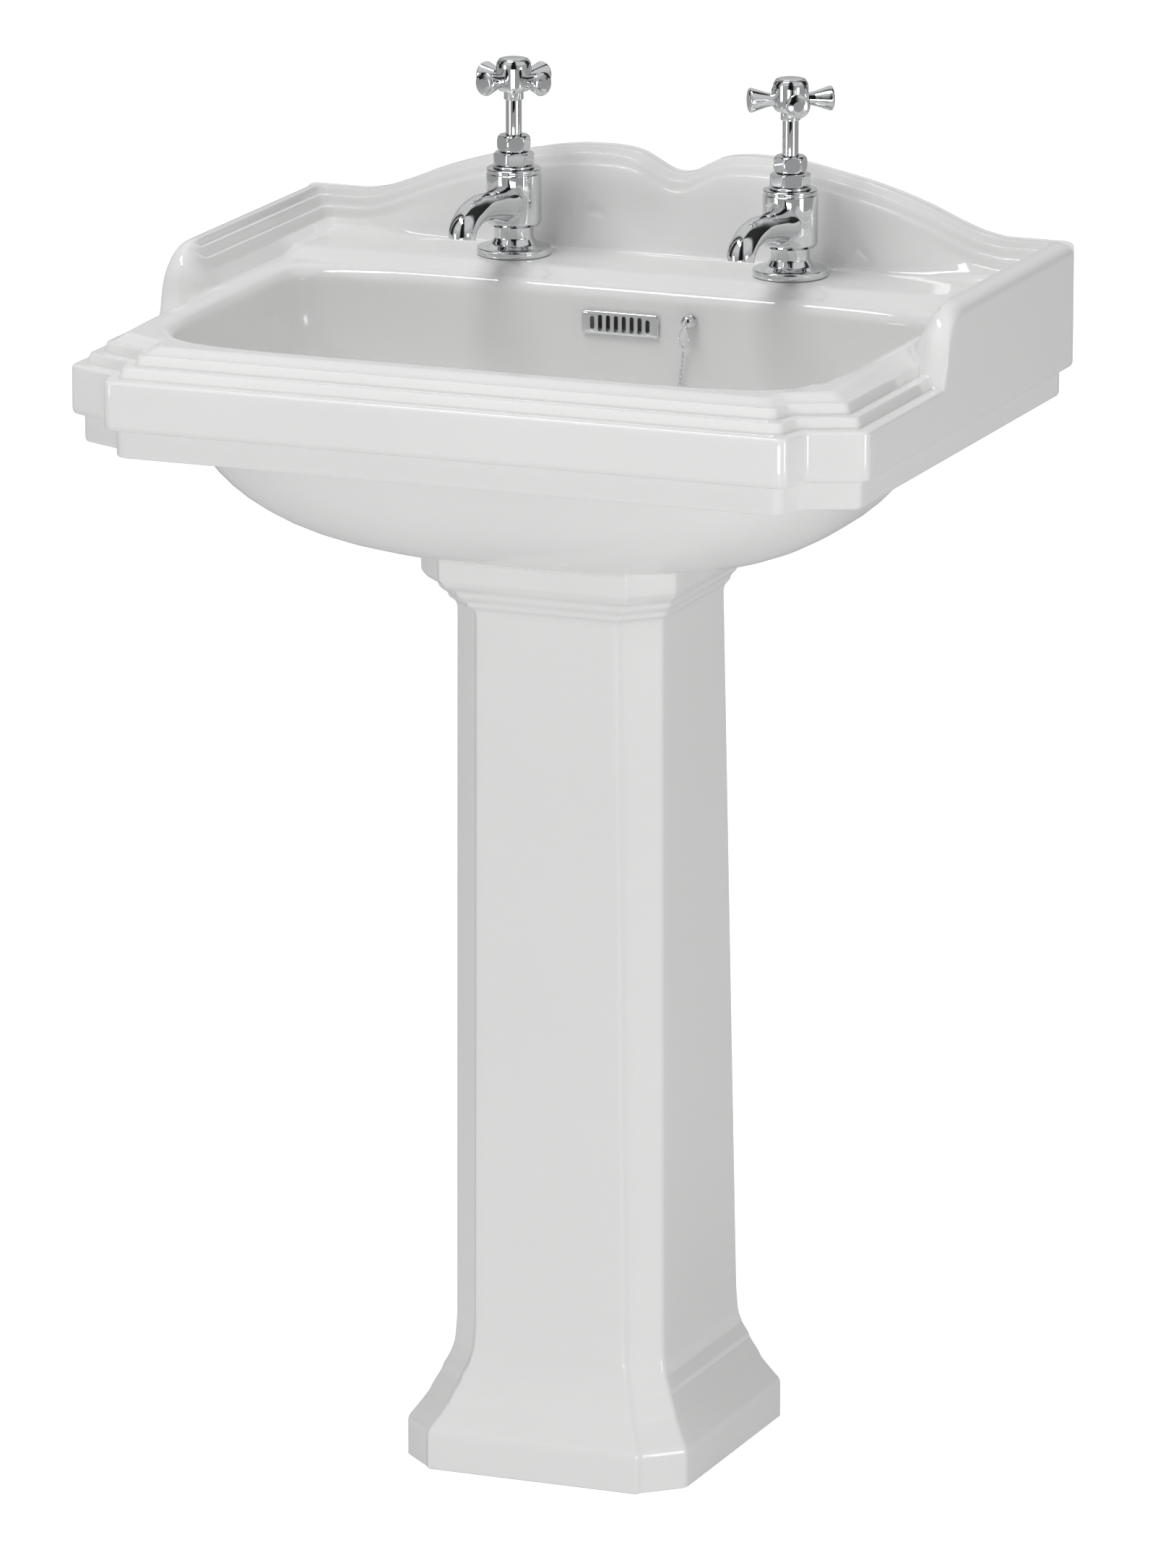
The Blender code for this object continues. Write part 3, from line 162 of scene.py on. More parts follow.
world = bpy.data.worlds.new("studio")
bpy.context.scene.world = world
world.use_nodes = True
nodes, links = world.node_tree.nodes, world.node_tree.links
background = nodes["Background"]
direction = nodes.new("ShaderNodeTexCoord")
split = nodes.new("ShaderNodeSeparateXYZ")
links.new(direction.outputs["Generated"], split.inputs[0])
height_ramp = nodes.new("ShaderNodeValToRGB")
height_ramp.color_ramp.elements[0].position = 0.02
height_ramp.color_ramp.elements[0].color = (0.55, 0.55, 0.55, 1)
height_ramp.color_ramp.elements[1].position = 0.55
height_ramp.color_ramp.elements[1].color = (0.98, 0.98, 0.98, 1)
links.new(split.outputs["Z"], height_ramp.inputs[0])
bands = nodes.new("ShaderNodeValToRGB")
bands.color_ramp.interpolation = "EASE"
for position, shade in ((0.05, 0.04), (0.11, 1.0), (0.24, 1.0), (0.28, 0.02), (0.34, 0.02), (0.39, 1.0),
                        (0.56, 1.0), (0.60, 0.05), (0.67, 0.05), (0.73, 1.0), (0.90, 1.0), (0.95, 0.04)):
    stop = bands.color_ramp.elements.new(position)
    stop.color = (shade, shade, shade, 1)
azimuth_of = nodes.new("ShaderNodeMath")
azimuth_of.operation = "ARCTAN2"
links.new(split.outputs["Y"], azimuth_of.inputs[0])
links.new(split.outputs["X"], azimuth_of.inputs[1])
turn_share = nodes.new("ShaderNodeMath")
turn_share.operation = "MULTIPLY_ADD"
turn_share.inputs[1].default_value = 0.5 / math.pi
turn_share.inputs[2].default_value = 0.5
links.new(azimuth_of.outputs[0], turn_share.inputs[0])
links.new(turn_share.outputs[0], bands.inputs[0])
shade_mix = nodes.new("ShaderNodeMix")
shade_mix.data_type = "RGBA"
shade_mix.blend_type = "MULTIPLY"
shade_mix.inputs[0].default_value = 1.0
links.new(height_ramp.outputs[0], shade_mix.inputs[6])
links.new(bands.outputs[0], shade_mix.inputs[7])
links.new(shade_mix.outputs[2], background.inputs[0])
background.inputs[1].default_value = 0.72

# %% [markdown]
# ## Finishes
# A finish is a Principled shader fed by noise in Object coordinates. Glaze over china is smooth but
# never flat: it flows a little in the kiln, so a slow noise bends its reflections, and a fine one
# stands for its pinholes. Chrome is a thin plate over polished brass, with faint buffing marks.

# %% Finishes


def finish(name, colour, roughness, metallic=0.0, slow=(0, 0), fine=(0, 0), tint=0.0, rough_swing=0.0):
    """A shader whose colour, roughness and bump each take a little noise.

    slow and fine are (scale per metre, depth in metres) of two bump noises; tint is how much the
    colour darkens in the noise, and rough_swing how far the roughness moves either way.
    """
    made = bpy.data.materials.new(name)
    made.use_nodes = True
    tree = made.node_tree
    shader = tree.nodes["Principled BSDF"]
    shader.inputs["Metallic"].default_value = metallic
    where = tree.nodes.new("ShaderNodeTexCoord")

    def noise(scale, detail):
        made_noise = tree.nodes.new("ShaderNodeTexNoise")
        made_noise.inputs["Scale"].default_value = scale
        made_noise.inputs["Detail"].default_value = detail
        tree.links.new(where.outputs["Object"], made_noise.inputs["Vector"])
        return made_noise

    cloud = noise(9.0, 3.0)
    shades = tree.nodes.new("ShaderNodeValToRGB")
    shades.color_ramp.elements[0].position = 0.35
    shades.color_ramp.elements[1].position = 0.65
    shades.color_ramp.elements[0].color = (*(c * (1 - tint) for c in colour), 1)
    shades.color_ramp.elements[1].color = (*colour, 1)
    tree.links.new(cloud.outputs["Fac"], shades.inputs[0])
    tree.links.new(shades.outputs[0], shader.inputs["Base Color"])
    wear = tree.nodes.new("ShaderNodeMapRange")
    wear.inputs["To Min"].default_value = roughness - rough_swing
    wear.inputs["To Max"].default_value = roughness + rough_swing
    tree.links.new(noise(38.0, 4.0).outputs["Fac"], wear.inputs["Value"])
    tree.links.new(wear.outputs["Result"], shader.inputs["Roughness"])
    before = None
    for scale, depth in (slow, fine):
        if depth:
            bump = tree.nodes.new("ShaderNodeBump")
            bump.inputs["Distance"].default_value = depth
            bump.inputs["Strength"].default_value = 1.0
            tree.links.new(noise(scale, 2.0).outputs["Fac"], bump.inputs["Height"])
            if before:
                tree.links.new(before.outputs[0], bump.inputs["Normal"])
            before = bump
    if before:
        tree.links.new(before.outputs[0], shader.inputs["Normal"])
    return made


glaze = finish("white_glaze", (0.86, 0.86, 0.855), 0.07, slow=(14, 0.00016), fine=(420, 0.0000035),
               tint=0.012, rough_swing=0.02)
glaze.node_tree.nodes["Principled BSDF"].inputs["IOR"].default_value = 1.52
chrome = finish("polished_chrome", (0.74, 0.75, 0.76), 0.035, 1.0, slow=(60, 0.00002),
                fine=(900, 0.0000015), tint=0.03, rough_swing=0.025)
brass = finish("machined_brass", (0.68, 0.50, 0.22), 0.30, 1.0, fine=(700, 0.000004), tint=0.18,
               rough_swing=0.08)
rubber = finish("black_rubber", (0.030, 0.030, 0.032), 0.62, fine=(900, 0.00001), tint=0.2,
                rough_swing=0.08)
plastic = finish("white_plastic", (0.80, 0.80, 0.785), 0.34, fine=(600, 0.000006), tint=0.03,
                 rough_swing=0.06)
finish_of = {"white_glaze": glaze, "chrome": chrome, "brass": brass, "rubber": rubber,
             "white_plastic": plastic}
print("finishes:", list(finish_of))

# %% [markdown]
# ## From a grid of points to a closed mesh
# Every new surface is a grid: rows along a section and columns round it. One function turns the
# grid into quads by index arithmetic. Rows may close into a ring, as on a washer, or end in a pole,
# as on a knob, where one extra point and a fan of triangles shut the surface.

# %% Surfaces


def shell(grid, ring=False, hollow=0):
    """Points (rows, columns, 3) made vertices and faces; columns wrap round, and rows wrap if ring.

    Where the rows don't wrap, the first and last rows are each shut by a fan to their mean point.
    A hollow section gives its count of outer points instead: its ends are shut by a strip of quads
    from the outer points to the inner ones, whose order is reversed, with two points on each lip.
    The faces are turned over, if need be, so that the volume they hold is positive.
    """
    rows, columns = grid.shape[:2]
    verts = grid.reshape(-1, 3)
    row = np.arange(rows if ring else rows - 1)[:, None]
    column = np.arange(columns)[None, :]
    a = row * columns + column
    b = row * columns + (column + 1) % columns
    c = ((row + 1) % rows) * columns + (column + 1) % columns
    d = ((row + 1) % rows) * columns + column
    faces = np.stack([a, b, c, d], axis=-1).reshape(-1, 4).tolist()
    if hollow:
        m = hollow
        i = np.arange(1, m - 2)
        strip = np.stack([i + 1, i, 2 * m + 1 - i, 2 * m - i], axis=1).tolist()
        strip += [[1, 0, 2 * m + 3, 2 * m + 2, 2 * m + 1, 2 * m], [m - 1, m - 2, m + 3, m + 2, m + 1, m]]
        top = (rows - 1) * columns
        faces += strip + [[top + v for v in face[::-1]] for face in strip]
    elif not ring:
        verts = np.concatenate([verts, grid[0].mean(axis=0)[None], grid[-1].mean(axis=0)[None]])
        first, last = rows * columns, rows * columns + 1
        turn = np.arange(columns)
        low = np.stack([(turn + 1) % columns, turn, np.full(columns, first)], axis=1)
        base = (rows - 1) * columns
        high = np.stack([base + turn, base + (turn + 1) % columns, np.full(columns, last)], axis=1)
        faces += low.tolist() + high.tolist()
    corner = verts[[f[0] for f in faces]], verts[[f[1] for f in faces]], verts[[f[2] for f in faces]]
    volume = np.einsum("ij,ij->", corner[0], np.cross(corner[1], corner[2]))
    last_corner = verts[[f[-1] for f in faces]]
    volume += np.einsum("ij,ij->", corner[0], np.cross(corner[2], last_corner))
    if volume < 0:
        faces = [f[::-1] for f in faces]
    return verts, faces


def mesh_of(name, shells, sharp=35):
    """One mesh of one or more shells, smooth but for edges sharper than the angle in degrees."""
    verts, faces, count = [], [], 0
    for points, corners in shells:
        verts.append(points)
        faces += [[i + count for i in face] for face in corners]
        count += len(points)
    mesh = bpy.data.meshes.new(name)
    mesh.from_pydata(np.concatenate(verts).tolist(), [], faces)
    mesh.shade_smooth()
    mesh.set_sharp_from_angle(angle=math.radians(sharp))
    mesh.validate()
    return mesh


def piece(name, shells, slot, body, stands_for, sharp=35):
    """A finished piece at the origin: its mesh, its finish, its body and the node it replaces."""
    mesh = shells if isinstance(shells, bpy.types.Mesh) else mesh_of(name, shells, sharp)
    mesh.materials.clear()
    mesh.materials.append(finish_of[slot])
    made = bpy.data.objects.new(name, mesh)
    bpy.context.scene.collection.objects.link(made)
    if body:
        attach(made, body)
    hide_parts(stands_for)
    print(name, len(mesh.vertices), "points")
    return made


def worked(name, base, steps, sharp=35):
    """The base shells with others added or taken away, each as (operation, shells)."""
    body = bpy.data.objects.new(name + "_blank", mesh_of(name + "_blank", base))
    bpy.context.scene.collection.objects.link(body)
    tools = [body]
    for i, (operation, tool_shells) in enumerate(steps):
        tool = bpy.data.objects.new(f"{name}_tool_{i}", mesh_of(f"{name}_tool_{i}", tool_shells))
        bpy.context.scene.collection.objects.link(tool)
        cut = body.modifiers.new(f"step_{i}", "BOOLEAN")
        cut.operation, cut.solver, cut.object = operation, "MANIFOLD", tool
        tools.append(tool)
    bpy.context.view_layer.update()
    graph = bpy.context.evaluated_depsgraph_get()
    mesh = bpy.data.meshes.new_from_object(body.evaluated_get(graph))
    for tool in tools:
        bpy.data.objects.remove(tool)
    mesh.name = name
    mesh.shade_smooth()
    mesh.set_sharp_from_angle(angle=math.radians(sharp))
    assert len(mesh.polygons) > 3, name
    return mesh


def eased(x):
    """The smooth step 3x^2 - 2x^3, held at 0 below nought and at 1 above one."""
    x = np.clip(x, 0, 1)
    return x * x * (3 - 2 * x)


def flowing(x, xs, ys):
    """A smooth curve through the points: cubic Hermite pieces with slopes that never overshoot."""
    xs, ys = np.asarray(xs, float), np.asarray(ys, float)
    step = np.diff(ys) / np.diff(xs)
    slope = np.zeros_like(ys)
    same = step[:-1] * step[1:] > 0
    slope[1:-1][same] = 2 * step[:-1][same] * step[1:][same] / (step[:-1] + step[1:])[same]
    slope[0], slope[-1] = step[0], step[-1]
    i = np.clip(np.searchsorted(xs, x, side="right") - 1, 0, len(xs) - 2)
    width = xs[i + 1] - xs[i]
    t = np.clip((x - xs[i]) / width, 0, 1)
    return ((1 + 2 * t) * (1 - t)**2 * ys[i] + t * (1 - t)**2 * width * slope[i]
            + t**2 * (3 - 2 * t) * ys[i + 1] + t**2 * (t - 1) * width * slope[i + 1])


# %% [markdown]
# ## The basin's plan
# Seen from above the basin is a rectangle whose front corners are notched and cut back. A path of
# straight lines is moved inwards by an inset, its corners are rounded, and the same number of
# stations is read along it every time, so that rings at different insets join up station by station.

# %% Plan outline


def corner_arcs(corners, radii, count):
    """At each inner corner of a path, an arc of the given radius touching both of its lines."""
    arcs = []
    for k in range(1, len(corners) - 1):
        before, corner, after = (np.array(corners[k + s], float) for s in (-1, 0, 1))
        a = (before - corner) / np.linalg.norm(before - corner)
        b = (after - corner) / np.linalg.norm(after - corner)
        half = math.acos(np.clip(a @ b, -1, 1)) / 2
        centre = corner + (a + b) / np.linalg.norm(a + b) * radii[k - 1] / math.sin(half)
        start = corner + a * radii[k - 1] / math.tan(half) - centre
        end = corner + b * radii[k - 1] / math.tan(half) - centre
        turn = np.linspace(0, math.atan2(start[0] * end[1] - start[1] * end[0], start @ end), count)
        spin = np.stack([start[0] * np.cos(turn) - start[1] * np.sin(turn),
                         start[0] * np.sin(turn) + start[1] * np.cos(turn)], axis=1)
        arcs.append(centre + spin)
    return arcs


def inset_corners(path, inset):
    """The corners of a path of straight lines after each line moves to its right by the inset."""
    path = np.array(path, float)
    along = np.diff(path, axis=0)
    along /= np.linalg.norm(along, axis=1)[:, None]
    start = path[:-1] + inset * np.stack([along[:, 1], -along[:, 0]], axis=1)
    inner = []
    for p, d, q, e in zip(start, along, start[1:], along[1:]):
        inner.append(p + d * np.linalg.solve(np.array([d, -e]).T, q - p)[0])
    return np.array(inner)


PLAN = [(0, 0), (HALF, 0), (HALF, -0.394), (0.244, -0.4105), (0.238, -DEEP), (0, -DEEP)]
BACK_RUN = np.linspace(0, 1, 82)[:-1]
NOSE_RUN = np.concatenate([np.linspace(0.006, 0.198, 38), np.linspace(0.200, 0.264, 54),
                           np.linspace(0.268, 0.386, 26)])
SIDE_RUN = (NOSE_RUN[1:-1] - 0.006) / (0.3902 - 0.006)
FRONT_RUN = np.linspace(0, 1, 48)[1:]


def outline(inset):
    """Stations round the plan at this inset, from the middle of the back by way of the right."""
    inner = inset_corners(PLAN, inset)
    back, front = np.array([0, inner[0][1]]), np.array([0, inner[-1][1]])
    arcs = corner_arcs([back, *inner, front], (0.006, 0.007, 0.008, 0.007), 9)
    right = np.concatenate([
        back + (arcs[0][0] - back) * BACK_RUN[:, None], arcs[0],
        arcs[0][-1] + (arcs[1][0] - arcs[0][-1]) * SIDE_RUN[:, None], arcs[1], arcs[2], arcs[3],
        arcs[3][-1] + (front - arcs[3][-1]) * FRONT_RUN[:, None]])
    return np.concatenate([right, right[-2:0:-1] * [-1, 1]])


edge, inner_edge = outline(0.0), outline(LAND)
print("stations round the basin:", len(edge), "inner", inner_edge.min(axis=0), inner_edge.max(axis=0))

# %% [markdown]
# ## The basin's top
# One height is worked out for each point of the top. The rim is a band edge and two small mouldings.
# The upstand is an outer round, a land, three fillets and a sloping face, measured by the distance
# from the outer edge; past an ear's end the distance turns into a true radius, so that the same
# mouldings curl round the nose. The higher of the two wins, with a small hollow between them.

# %% Top heights
SPLASH_X = (0.0, 0.004, 0.010, 0.017, 0.022, 0.030, 0.040, 0.053, 0.070, 0.088, 0.110, 0.138, 0.160, 0.180,
            0.200, 0.220, 0.236, 0.280)
SPLASH_Z = (0.2187, 0.2190, 0.2208, 0.2245, 0.2272, 0.2308, 0.2328, 0.2336, 0.2332, 0.2313, 0.2272, 0.2212,
            0.2150, 0.2080, 0.1996, 0.1928, 0.1905, 0.1905)


def deck_level(x, y):
    """The plain top: 157 to 160.5 mm up round the rim, rising behind the bowl to the tap deck."""
    rim = 0.157 + 0.0035 * eased((y + DEEP) / 0.12)
    rim = rim - 0.0025 * eased((0.236 - np.abs(x)) / 0.05) * eased((y + WASTE_BACK) / 0.06)
    return rim + (0.1655 - rim) * eased((y + BOWL_BACK) / 0.030)


def rim_height(inset, x, y):
    """A 2.5 mm edge round, then two 7.2 mm steps, each eased over 3 mm, then a slow crown."""
    steps = 0.0072 * (eased((inset - 0.0080) / 0.0030) + eased((inset - 0.0175) / 0.0030))
    crown = (deck_level(x, y) - 0.1388 - 0.0144) * eased((inset - 0.0215) / 0.0120)
    drop = 0.0025 - np.sqrt(np.maximum(0.0025**2 - np.maximum(0.0025 - inset, 0)**2, 0))
    return 0.1388 + steps + crown - drop


def upstand_height(inset, x, y):
    """The wall's section by its distance in from the outer round, carried round the nose."""
    top = flowing(np.abs(x), SPLASH_X, SPLASH_Z)
    over = np.maximum(-y - 0.214, 0) * (0.021 / 0.034)
    reach = np.hypot(np.maximum(inset - 0.010, 0), over)
    fillets = (0.0050 * eased((reach - 0.0030) / 0.0022) + 0.0070 * eased((reach - 0.0075) / 0.0024)
               + 0.0070 * eased((reach - 0.0120) / 0.0024))
    face = (top - 0.019 - deck_level(x, y)) * np.maximum(reach - 0.0140, 0) / 0.0090
    nose = 0.030 * (1 - np.sqrt(np.maximum(1 - (reach / 0.021)**2, 0))) + 4 * np.maximum(reach - 0.021, 0)
    share = over**2 / np.maximum(reach**2, 1e-12)
    round_edge = 0.003 + 0.007 * eased((-y - 0.002) / 0.004)
    depth = np.maximum(round_edge - inset, 0)
    drop = round_edge - np.sqrt(np.maximum(round_edge**2 - depth**2, 0))
    return top - drop - (1 - share) * (fillets + face) - share * nose


def top_height(inset, x, y):
    """The higher of rim and upstand, with a rounded hollow about 4 mm deep where they cross."""
    a, b = rim_height(inset, x, y), upstand_height(inset, x, y)
    soft = 0.0035 + 0.004 * eased((y + 0.06) / 0.03)
    mix = np.clip(0.5 + (a - b) / (2 * soft), 0, 1)
    return b + (a - b) * mix + soft * mix * (1 - mix)


peak = top_height(0.011, np.array(0.053), np.array(-0.011))
print("highest point of the splashback:", round(float(peak), 4))

# %% [markdown]
# ## The bowl
# The bowl's plan is a superellipse: |x/a| to a power plus |y/b| to the same power. A high power
# gives the rounded box of the rim, and a lower one the softer floor. Its section is a superellipse
# too, so its side is steep and its floor nearly flat. Near the waste the rings turn into circles.

# %% Bowl and underside


def bowl_share(dx, dy, grow, power):
    """How far out a point is, as a share of the bowl's plan grown by so much."""
    deep = np.where(dy < 0, BOWL_AHEAD + grow, BOWL_BEHIND + grow)
    return (np.abs(dx / (BOWL_HALF + grow))**power + np.abs(dy / deep)**power)**(1 / power)


def bowl_ring(share, grow, power):
    """The ring of points at this share of the bowl, one for each station of the outline."""
    dx, dy = edge[:, 0] * BOWL_HALF / HALF, edge[:, 1] + WASTE_BACK
    dy = np.where(dy < 0, dy * BOWL_AHEAD / (DEEP - WASTE_BACK), dy * BOWL_BEHIND / WASTE_BACK)
    scale = share / bowl_share(dx, dy, grow, power)
    return np.stack([dx * scale, dy * scale - WASTE_BACK], axis=1)


def circle(radius, tail=0.0):
    """A circle about the waste at the outline's stations, drawn out to the back by the tail."""
    ring = bowl_ring(1.0, 0.0, RIM_POWER) + [0, WASTE_BACK]
    ring = ring / np.linalg.norm(ring, axis=1)[:, None]
    return ring * (radius + tail * np.maximum(ring[:, 1], 0)**3)[:, None] - [0, WASTE_BACK]


def dish(share, top, bottom):
    """A section that is steep at its side and flat at its floor: the root of 1 less a power."""
    return top - (top - bottom) * np.sqrt(np.maximum(1 - np.minimum(share, 1)**DISH_POWER, 0))


def at(plan, height):
    """A ring of 3-D points, in the part's own frame, from a plan and its heights."""
    return np.column_stack([plan[:, 0], plan[:, 1] + WALL, np.broadcast_to(height, len(plan)) + SEAT])


BOSS = ((0.0225, 0.0, -0.0260), (0.0340, 0.0270, -0.0260), (0.0385, 0.0270, -0.0248),
        (0.0400, 0.0270, -0.0220), (0.0405, 0.0270, -0.0004), (0.0415, 0.0275, 0.0006))
SKIRT = ((0.0172, 0.0890), (0.0164, 0.0868), (0.0148, 0.0861), (0.0098, 0.0861), (0.0080, 0.0867),
         (0.0072, 0.0880), (0.0070, 0.0900), (0.0070, 0.1020), (0.0066, 0.1042), (0.0055, 0.1051),
         (0.0026, 0.1054), (0.0010, 0.1062), (0.0002, 0.1078), (0.0, 0.1095))
rings = [at(circle(radius, tail), height) for radius, tail, height in BOSS]
for phi in np.linspace(0.215, math.pi / 2, 17):
    share = math.sin(phi)**(2 / DISH_POWER)
    plan = bowl_ring(share, BOWL_WALL, 2 + 2 * share**2)
    duct = 0.028 * eased((0.060 - np.abs(plan[:, 0])) / 0.030) * (plan[:, 1] > -WASTE_BACK)
    plan[:, 1] += duct
    rings.append(at(plan, dish(share, UNDER_TOP, 0.0)))
under = np.where(inner_edge[:, 1] > -BOWL_BACK, 0.1465, 0.1415)
rings.append(at(plan + (inner_edge - plan) * 0.08, under))
rings.append(at(outline(0.0205), under))
rings += [at(outline(inset), height) for inset, height in SKIRT]
start_z, x, y = SKIRT[-1][1], edge[:, 0], edge[:, 1]
for t in (0.35, 0.7):
    rings.append(at(edge, start_z + (top_height(0.0, x, y) - start_z) * t))
insets = np.concatenate([0.008 * (1 - np.cos(np.linspace(0, math.pi / 2, 12))),
                         np.arange(0.0085, 0.0352, 0.0005)])
for inset in insets:
    plan = edge + (inner_edge - edge) * (inset / LAND)
    rings.append(at(plan, top_height(inset, plan[:, 0], plan[:, 1])))
lip = bowl_ring(1.0, LIP_ROUND, RIM_POWER)
last = plan
for t in np.linspace(0, 1, 15)[1:-1]**0.8:
    plan = last + (lip - last) * t
    rings.append(at(plan, deck_level(plan[:, 0], plan[:, 1])))
lip_height = deck_level(lip[:, 0], lip[:, 1])
for turn in np.linspace(0, math.pi / 2, 9):
    plan = bowl_ring(1.0, LIP_ROUND * (1 - math.sin(turn)), RIM_POWER)
    rings.append(at(plan, lip_height - LIP_ROUND * (1 - math.cos(turn))))
for phi in np.linspace(math.pi / 2, 0.42, 27)[1:]:
    share = math.sin(phi)**(2 / DISH_POWER)
    plan = bowl_ring(share, 0.0, RIM_POWER - 3.0 * (1 - share))
    floor_z = dish(share, lip_height - LIP_ROUND, BOWL_FLOOR)
    rings.append(at(plan, floor_z))
for t in np.linspace(0, 1, 10)[1:]:
    fall = (floor_z - BOWL_FLOOR) * (1 - t)**2.6
    rings.append(at(plan + (circle(0.0345) - plan) * t, BOWL_FLOOR + fall))
for radius, height in ((0.0337, 0.0127), (0.0332, 0.0120), (0.0330, 0.0096), (0.0326, 0.0090),
                       (0.0225, 0.0090)):
    rings.append(at(circle(radius), height))
basin_shell = shell(np.array(rings), ring=True)
print("basin rings:", len(rings), "triangles:", 2 * len(basin_shell[1]))

# %% [markdown]
# ## Through the back wall
# Behind the overflow grille the china has a real slot, and the chain stay passes through a hole, so
# both are cut from the finished grid. The exact shapes are boxes and cylinders from the same maker.

# %% Simple tools


def box_shell(low, high):
    """A box between two corners, as a ring of four columns with two rows and flat ends."""
    (x0, y0, z0), (x1, y1, z1) = low, high
    ring_points = np.array([(x0, y0), (x1, y0), (x1, y1), (x0, y1)])
    return shell(np.array([np.column_stack([ring_points, np.full(4, z)]) for z in (z0, z1)]))


def rounded_corners(profile, radii, count=5):
    """A profile with each inner corner made an arc; a radius of nought leaves it sharp."""
    profile = [np.array(p, float) for p in profile]
    out = [profile[0][None]]
    for k in range(1, len(profile) - 1):
        radius = radii[k - 1] if k - 1 < len(radii) else 0
        if radius:
            out.append(corner_arcs(profile[k - 1:k + 2], (radius,), count)[0])
        else:
            out.append(profile[k][None])
    return np.concatenate([*out, profile[-1][None]])


def turned(profile, place=(0, 0, 0), steps=96, ring=False, axis="z"):
    """A profile of (radius, height) turned about an axis through the place."""
    profile = np.asarray(profile, float)
    if not ring:
        profile = profile[profile[:, 0] > 1e-6]
    angle = np.linspace(0, 2 * math.pi, steps, endpoint=False)
    r, h = profile[:, :1], profile[:, 1:] + 0 * angle
    grid = np.stack([r * np.cos(angle), r * np.sin(angle), h], axis=-1)
    if axis == "y":
        grid = np.stack([grid[..., 0], -grid[..., 2], grid[..., 1]], axis=-1)
    return shell(grid + np.array(place), ring)


GRILLE_Z = SEAT + LIP - 0.023
STAY_X, STAY_Z = 0.050, SEAT + LIP - 0.017
mouth = box_shell((-0.0225, BACK - 0.010, GRILLE_Z - 0.00525), (0.0225, BACK + 0.013, GRILLE_Z + 0.00525))
stay_hole, nut_pocket = (turned([(0, -0.040), (r, -0.040), (r, end), (0, end)], (STAY_X, BACK, STAY_Z), 32,
                                axis="y") for r, end in ((0.0034, 0.020), (0.0085, -0.0165)))
holes = [turned([(0, -0.030), (0.0135, -0.030), (0.0135, 0.012), (0, 0.012)], place, 48)
         for _, place in TAPS]
channel = box_shell((-0.0250, BACK + 0.0065, GRILLE_Z - 0.0560), (0.0250, BACK + 0.0340, GRILLE_Z + 0.0070))
basin_mesh = worked("basin_china", [basin_shell],
                    [("DIFFERENCE", [tool]) for tool in (mouth, channel, stay_hole, nut_pocket, *holes)], 38)
piece("basin_china", basin_mesh, "white_glaze", "basin_set", "basin")

# %% [markdown]
# ## The pedestal
# One open section, like a U of chamfered planks, changes its five sizes with height: wide and deep
# at the plinth, drawn in over two mouldings to a slim column, and out again to the capital. The
# sizes are mixed by a share that flows from level to level, and the top follows the basin's belly.

# %% Pedestal
COLUMN_TOP = np.array([0.0500, 0.2531, 0.0739, 0.2302, 0.1190])
COLUMN_FOOT = np.array([0.0537, 0.2480, 0.0755, 0.2305, 0.0950])
PLINTH = np.array([0.0758, 0.2797, 0.1019, 0.2535, 0.0787])
CAPITAL = np.array([0.0670, 0.2776, 0.0916, 0.2508, 0.1140])


def half_section(sizes, inset=0.0):
    """Half of the section, from its back edge along the side and the chamfer to the middle."""
    panel, front, half, chamfer, back = sizes
    path = [(half, -back), (half, -chamfer), (panel + 0.003, -front + 0.0045), (panel, -front), (0, -front)]
    inner = inset_corners(path, inset)
    start, end = np.array([inner[0][0], -back]), np.array([0, inner[-1][1]])
    arcs = corner_arcs([start, *inner, end], (0.006, 0.004, 0.0022), 8)
    side = start + (arcs[0][0] - start) * np.linspace(0, 1, 13)[:-1, None]
    face = arcs[-1][-1] + (end - arcs[-1][-1]) * np.linspace(0, 1, 10)[1:-1, None]
    return np.concatenate([side, *arcs, face])


def section(sizes):
    """The closed section: out along the outside, over the back edge, and back along the inside."""
    right, inside = half_section(sizes), half_section(sizes, 0.012)
    outer = np.concatenate([right, right[::-1] * [-1, 1]])
    inner = np.concatenate([inside, inside[::-1] * [-1, 1]])[::-1]
    lip_out = outer[-1] + (inner[0] - outer[-1]) * np.array([[0.12], [0.88]])
    lip_in = inner[-1] + (outer[0] - inner[-1]) * np.array([[0.12], [0.88]])
    return np.concatenate([outer, lip_out, inner, lip_in])


def belly(plan):
    """The height of the basin's underside over a plan, by settling its share in a few rounds."""
    share = 1.0
    for _ in range(7):
        share = bowl_share(plan[:, 0], plan[:, 1] + WASTE_BACK, BOWL_WALL, 2 + 2 * share**2)
    return dish(share, UNDER_TOP, 0.0)


FOOT_TOP, NECK = 0.096, 0.588
foot_z = (0.0, 0.0235, 0.0260, 0.0278, 0.0292, 0.0306, 0.0340, 0.0400, 0.0452, 0.0466, 0.0480, 0.0500,
          0.0560, 0.0594, 0.0606, 0.0620, 0.0700, 0.0800, FOOT_TOP)
foot_share = (1.0, 1.0, 0.992, 0.970, 0.938, 0.900, 0.810, 0.660, 0.545, 0.530, 0.505, 0.470, 0.355, 0.300,
              0.292, 0.270, 0.130, 0.040, 0.0)
head_z = (0.0, 0.0040, 0.0070, 0.0080, 0.0092, 0.0106, 0.0140, 0.0160, 0.0172, 0.0186, 0.0230, 0.0262, 0.0290,
          0.0400)
head_share = (0.0, 0.05, 0.18, 0.235, 0.25, 0.27, 0.43, 0.505, 0.52, 0.55, 0.80, 0.92, 0.985, 1.0)
levels = []
